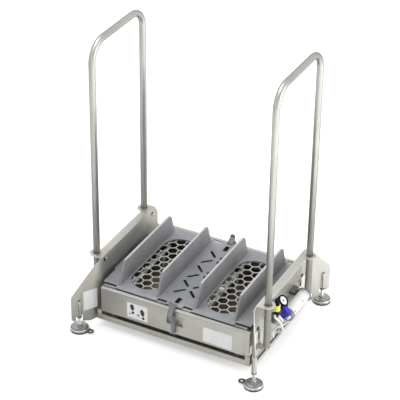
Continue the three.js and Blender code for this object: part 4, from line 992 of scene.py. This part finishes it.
neck_axis = placed((0.3715, -0.0527, 0.166), -quarter_turn, "X")
turned_piece("pump_neck", rod_outline(0.005, 0.0067), cloudy_collar, neck_axis, 24)
print("pump faces:", len(pump.data.polygons))

# %% [markdown]
# ## Air tubing
# Three tubes keep the route that they have in the frame. Each copy is merged, made a little thicker and
# subdivided, so that its eight sides become round. It is held at both ends, so it has no sag to work out.

# %% Tubes from the frame
tube_growth = 0.0004


def smooth_tube(node):
    """A copy of a tube from the frame, subdivided until it is round."""
    name = node + "_round"
    builder = merged_copy(node)
    builder.normal_update()
    for vert in builder.verts:
        vert.co += vert.normal * tube_growth
    tube = link_piece(name, finished_mesh(builder, name), body_of_node[node], air_tubing)
    smooth_faces(tube.data)
    rounder = tube.modifiers.new("rounder", "SUBSURF")
    rounder.levels = 2
    rounder.render_levels = 2
    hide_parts(node)


for node in ("signal_tube", "spray_tube", "pilot_tube"):
    smooth_tube(node)

# %% [markdown]
# A push-in fitting with a collar goes on the ends of the tubes. The fittings share one outline, and each is
# stood on its place and turned to point along its tube.

# %% Push-in fittings and the pump's outlet
def pointing(spot, way):
    """The matrix that stands a thing on a spot, with its Z along a direction."""
    return Matrix.Translation(spot) @ Vector(way).to_track_quat("Z", "Y").to_matrix().to_4x4()


fitting_outline = [
    (0.0041, 0), (0.0062, 0), (0.0068, 0.0006), (0.0068, 0.0042), (0.0059, 0.0048), (0.0059, 0.0062),
    (0.0053, 0.0068), (0.0041, 0.0068), (0.0041, 0),
]
fittings = {
    "signal_in": ((0.3730, -0.116, 0.192), (1, 0, 0)),
    "signal_out": ((0.3268, 0.004, 0.064), (1, 0, 0)),
    "drop_out": ((0.3268, -0.044, 0.062), (1, 0, 0)),
    "spray_in": ((0.375, -0.033, 0.1269), (0, 0, -1)),
    "spray_out": ((0.3268, -0.084, 0.064), (1, 0, 0)),
    "pilot_in": ((0.3373, 0.1222, 0.164), (0, 1, 0)),
    "pilot_out": ((0.375, 0.1122, 0.152), (0, 1, 0)),
}
for name, (spot, way) in fittings.items():
    at = pointing(spot, way)
    turned_piece("fitting_" + name, fitting_outline, white_moulding, at, 24, 0.0002)
outlet_outline = [(0, 0), (0.0080, 0), (0.0085, 0.0005), (0.0085, 0.0110), (0.0074, 0.0122), (0, 0.0122)]
outlet_axis = placed((0.3935, 0.1121, 0.1495), -quarter_turn, "X")
turned_piece("pump_outlet", outlet_outline, white_moulding, outlet_axis, 32, 0.0003)
print("fittings:", len(fittings))

# %% [markdown]
# The drop tube bulges out from under the shut-off valve and comes back to the side plate. Its route is a
# smooth curve with a round bevel, which gives a tube, and its ends are filled so that it is closed.

# %% Drop tube
def bent_tube(name, points, radius):
    """A held tube along smooth points, made as a curve and turned into a mesh."""
    curve = bpy.data.curves.new(name + "_route", "CURVE")
    curve.dimensions = "3D"
    curve.resolution_u = 8
    curve.bevel_depth = radius
    curve.bevel_resolution = 5
    curve.use_fill_caps = True
    spline = curve.splines.new("NURBS")
    spline.points.add(len(points) - 1)
    for knot, point in zip(spline.points, points):
        knot.co = (*point, 1)
    spline.use_endpoint_u = True
    spline.order_u = 4
    mesh = mesh_of_curve(curve)
    smooth_faces(mesh)
    return link_piece(name, mesh, "frame", air_tubing)


drop_route = [
    (0.361, -0.120, 0.2000), (0.361, -0.134, 0.1998), (0.371, -0.133, 0.194), (0.377, -0.118, 0.175),
    (0.379, -0.096, 0.138), (0.372, -0.068, 0.098), (0.350, -0.048, 0.070), (0.330, -0.044, 0.062),
    (0.3266, -0.044, 0.062),
]
drop_tube = bent_tube("drop_tube", drop_route, 0.0045)
print("drop tube faces:", len(drop_tube.data.polygons))

# %% [markdown]
# ## Screws
# A button-head screw is a low dome with a hexagon socket, which at this size is a round dark dip. The outline
# goes over the dome and down into the dip, so the screw keeps the shade that the eye looks for.

# %% Button-head screws
def screw(name, spot, way, radius, material):
    """A button-head screw whose head stands on a face at a spot and points along a direction."""
    height = radius * 0.55
    outline = [
        (0, 0), (radius, 0), (radius, height * 0.25), (radius * 0.86, height * 0.72), (radius * 0.58, height),
        (radius * 0.42, height), (radius * 0.40, height * 0.35), (0, height * 0.35),
    ]
    return turned_piece(name, outline, material, pointing(spot, way), 24, 0.00015)


screws = {
    "left_plate_front": ((-0.3235, -0.171, 0.261), (1, 0, 0), 0.005),
    "left_plate_rear": ((-0.3235, 0.189, 0.256), (1, 0, 0), 0.005),
    "right_plate_front": ((0.3235, -0.171, 0.261), (-1, 0, 0), 0.005),
    "right_plate_rear": ((0.3235, 0.189, 0.256), (-1, 0, 0), 0.005),
    "pump_front": ((0.39656, -0.020, 0.16445), (0.866, 0, 0.5), 0.0028),
    "pump_rear": ((0.39462, 0.050, 0.16734), (0.788, 0, 0.616), 0.0028),
}
for label, side, end in corners:
    screws["rail_" + label] = ((side * 0.313, end * 0.250, 0.066), (0, end, 0), 0.005)
    screws["post_" + label] = ((side * 0.3298, end * post_y + 0.0085, 0.0895), (side, 0, 0), 0.0035)
for name, (spot, way, radius) in screws.items():
    screw("screw_" + name, spot, way, radius, dark_moulding if name.startswith("pump") else turned_steel)
print("screws:", len(screws))

# %% [markdown]
# ## Labels
# The front panel carries a white plate with a small picture that shows where to put the boots, and beside
# it a bare one. The left nose has another bare one. Each is a thin plate of vinyl just off the steel, with
# rounded corners. The nose is turned 30 degrees out, and its plate with it.

# %% Rounded plates
panel_face = -0.2551
label_corner, label_thickness = 0.003, 0.0003


def flat_plate(name, size, corner, thickness, at, body, material):
    """A thin plate with rounded corners, made from a square whose corners are bevelled."""
    builder = bmesh.new()
    made = bmesh.ops.create_grid(builder, x_segments=1, y_segments=1, size=0.5)["verts"]
    bmesh.ops.scale(builder, verts=made, vec=(*size, 1))
    bmesh.ops.bevel(builder, geom=builder.verts[:], offset=corner, segments=6, profile=0.5, affect="VERTICES",
                    material=-1)
    return link_piece(name, thickened(builder, name, thickness, at), body, material)


def on_panel(x, z, lift=0.0):
    """A place on the front panel, facing the user."""
    return placed((x, panel_face - lift, z), quarter_turn, "X")


def label_plate(name, size, at, body):
    """A bare white label."""
    flat_plate(name, size, label_corner, label_thickness, at, body, label_vinyl)


label_plate("picture_label", (0.088, 0.066), on_panel(-0.144, 0.1245), "platform")
label_plate("bare_label", (0.119, 0.064), on_panel(0.1925, 0.1205), "platform")
nose_turn = math.radians(30)
nose_along = Vector((-math.sin(nose_turn), -math.cos(nose_turn), 0))
nose_out = Vector((math.cos(nose_turn), -math.sin(nose_turn), 0))
nose_bend, label_along, label_off = Vector((-0.3235, -0.232, 0.123)), 0.038, 0.0001
nose_spot = nose_bend + nose_along * label_along + nose_out * label_off
label_plate("nose_label", (0.060, 0.086), facing(nose_spot, -nose_along, (0, 0, 1), nose_out), "frame")

# %% [markdown]
# ## Seams and openings
# The eye reads a folded box by the thin dark lines where its parts meet. The shade in the lip's seam, the gap
# behind the deck, the guide slots, the bolt holes and the dimples round the upper screws is painted: each is
# a thin dark plate that lies just off the steel, and so is a patch of painted shade low on the right plate. A
# white plate beside each slot paints a highlight on the web, and each lower flange has a band of painted
# shadow and a band of painted highlight.

# %% Seams, slots, pads and bands
web_face, web_inside = 0.3267, 0.3233
slot_size, slot_y, slot_z = (0.042, 0.0120), 0.1835, 0.139
hole_size, hole_y, hole_z = (0.0135, 0.0200), 0.1955, 0.1739
highlight_size, highlight_y, highlight_z = (0.054, 0.0330), 0.2075, 0.136
dimple_size, dimple_y, dimple_z = (0.0140, 0.0140), 0.1860, 0.2638
flange_shadow_x, flange_sheen_x, flange_z, flange_length = 0.3298, 0.3362, 0.0351, 0.4240
seam_y, seam_z, gap_y, gap_z = 0.2551, 0.1830, 0.2403, 0.1866


def dark_mark(name, size, corner, at, material=black_moulding, body="frame"):
    """A thin dark plate of painted shade, where an opening or a gap is."""
    flat_plate(name, size, corner, 0.0002, at, body, material)


def on_web(side, y, z):
    """A place on a side plate, facing away from the unit."""
    return placed((side * web_face, y, z), side * quarter_turn, "Y")


for label, side, end in corners:
    dark_mark("guide_slot_" + label, slot_size, 0.0058, on_web(side, end * slot_y, slot_z))
    dark_mark("bolt_hole_" + label, hole_size, 0.0066, on_web(side, end * hole_y, hole_z))
    # A white plate beside each slot paints a highlight on the web.
    highlight_at = on_web(side, end * highlight_y, highlight_z)
    flat_plate("web_highlight_" + label, highlight_size, 0.0020, 0.0003, highlight_at, "frame", white_moulding)
    dimple_at = placed((side * web_inside, end * dimple_y, dimple_z), -side * quarter_turn, "Y")
    dark_mark("bolt_dimple_" + label, dimple_size, 0.0069, dimple_at)
for side_name, side in sides:
    # A band of painted shadow next to the web, and a white band of painted highlight along the flange's top.
    shade_at = Matrix.Translation((side * flange_shadow_x, 0, flange_z))
    dark_mark("flange_shadow_" + side_name, (0.0062, flange_length), 0.0006, shade_at, dark_moulding)
    sheen_at = Matrix.Translation((side * flange_sheen_x, 0, flange_z))
    flat_plate("flange_sheen_" + side_name, (0.0058, flange_length), 0.0006, 0.0002, sheen_at, "frame",
               white_moulding)
for end_name, end in ends:
    seam_at = placed((0, end * seam_y, seam_z), -end * quarter_turn, "X")
    dark_mark(end_name + "_lip_seam", (0.580, 0.0018), 0.0007, seam_at, dark_moulding, "platform")
    shade_at = Matrix.Translation((0, end * gap_y, gap_z))
    dark_mark(end_name + "_deck_gap", (0.596, 0.0042), 0.0005, shade_at, black_moulding, "platform")
# A patch of painted shade low on the right plate, between the tubes.
dark_mark("lower_web_shade", (0.0130, 0.0860), 0.0060, on_web(1, 0.002, 0.0550), dark_moulding)

# %% [markdown]
# Strips of steel carry the panels and the lip round the right-hand corners of the box to the side plate. One
# nozzle has a white cap, and each foot's sleeve has a long dark strip of painted shade on two sides.

# %% Corner strips, nozzle cap and windows
strip_inner, strip_outer, strip_face = 0.3002, 0.3224, 0.2548
panel_back, panel_bottom, panel_top = 0.2505, 0.088, 0.1800
lip_back, lip_bottom, lip_top = 0.2425, 0.1802, 0.1864
shade_strip_out, shade_strip_height, shade_strip_skew, shade_strip_ahead = 0.00955, 0.096, 0.40, 0.917
for end_name, end in ends:
    box_piece(f"box_corner_{end_name}_right", (strip_inner, end * strip_face, panel_bottom),
              (strip_outer, end * panel_back, panel_top), "platform")
    box_piece(f"lip_corner_{end_name}_right", (strip_inner, end * strip_face, lip_bottom),
              (strip_outer, end * lip_back, lip_top), "platform")
nozzle_cap_outline = [
    (0, 0), (0.0105, 0), (0.0110, 0.0006), (0.0110, 0.0026), (0.0102, 0.0034), (0.0040, 0.0036),
    (0.0034, 0.0020), (0, 0.0020),
]
nozzle_place = Matrix.Translation((0.0968, -0.0370, 0.1763))
turned_piece("nozzle_cap", nozzle_cap_outline, white_moulding, nozzle_place, 32,
             body="platform")
up = Vector((0, 0, 1))
# Two dark strips on each sleeve are painted shade.
for label, side, end in corners:
    for face_name, face in ends:
        out = Vector((-side * end * shade_strip_skew * face, shade_strip_ahead * face, 0)).normalized()
        middle = foot_places[label] + up * shade_strip_height + out * shade_strip_out
        flat_plate(f"stem_shade_strip_{label}_{face_name}", (0.0034, 0.054), 0.0015, 0.0002,
                   facing(middle, up.cross(out), up, out), "frame", dark_steel)

# %% [markdown]
# ## Picture
# The picture is two boot soles seen from above, one with a tick and one with a cross. A sole is an oval
# pinched at its waist, and a heel is a smaller oval, so both start from circles that are scaled.

# %% The picture on the front label
sole_ink = mottled("sole_ink", (0.012, 0.012, 0.012), (0.022, 0.022, 0.022), 60, (0.40, 0.50), 500, 0.00001)
tick_ink = mottled("tick_ink", (0.02, 0.30, 0.08), (0.03, 0.36, 0.10), 60, (0.40, 0.50), 500, 0.00001)
cross_ink = mottled("cross_ink", (0.45, 0.02, 0.03), (0.52, 0.03, 0.04), 60, (0.40, 0.50), 500, 0.00001)
ink_thickness = 0.0001


def on_label(x, z, lean):
    """A place on the front label, turned by some degrees."""
    return on_panel(x, z, label_thickness) @ Matrix.Rotation(math.radians(lean), 4, "Z")


def ink_oval(name, x, z, width, height, lean, narrow=0.0):
    """A flat oval of ink on the label, narrower at its foot by a share."""
    builder = bmesh.new()
    made = bmesh.ops.create_circle(builder, cap_ends=True, segments=28, radius=0.5)["verts"]
    for vert in made:
        vert.co.x *= 1 - narrow * (0.5 - vert.co.y)
    bmesh.ops.scale(builder, verts=made, vec=(width, height, 1))
    mesh = thickened(builder, name, ink_thickness, on_label(x, z, lean))
    return link_piece(name, mesh, "platform", sole_ink)


def ink_bar(name, x, z, length, width, lean, material):
    """A flat bar of ink on the label."""
    at = on_label(x, z, lean)
    return flat_plate(name, (length, width), width * 0.3, ink_thickness, at, "platform", material)


ink_pieces = [
    ink_oval("left_sole", -0.166, 0.1385, 0.019, 0.028, 8, 0.25),
    ink_oval("left_heel", -0.1625, 0.1160, 0.012, 0.012, 8),
    ink_oval("right_sole", -0.1225, 0.1265, 0.019, 0.030, 12, 0.25),
    ink_oval("right_heel", -0.1190, 0.1030, 0.012, 0.012, 12),
    ink_bar("tick_short", -0.1775, 0.1085, 0.009, 0.0028, -45, tick_ink),
    ink_bar("tick_long", -0.1690, 0.1110, 0.016, 0.0028, 42, tick_ink),
    ink_bar("cross_down", -0.1400, 0.1105, 0.017, 0.0030, -45, cross_ink),
    ink_bar("cross_up", -0.1400, 0.1105, 0.017, 0.0030, 45, cross_ink),
]
print("ink pieces:", len(ink_pieces))
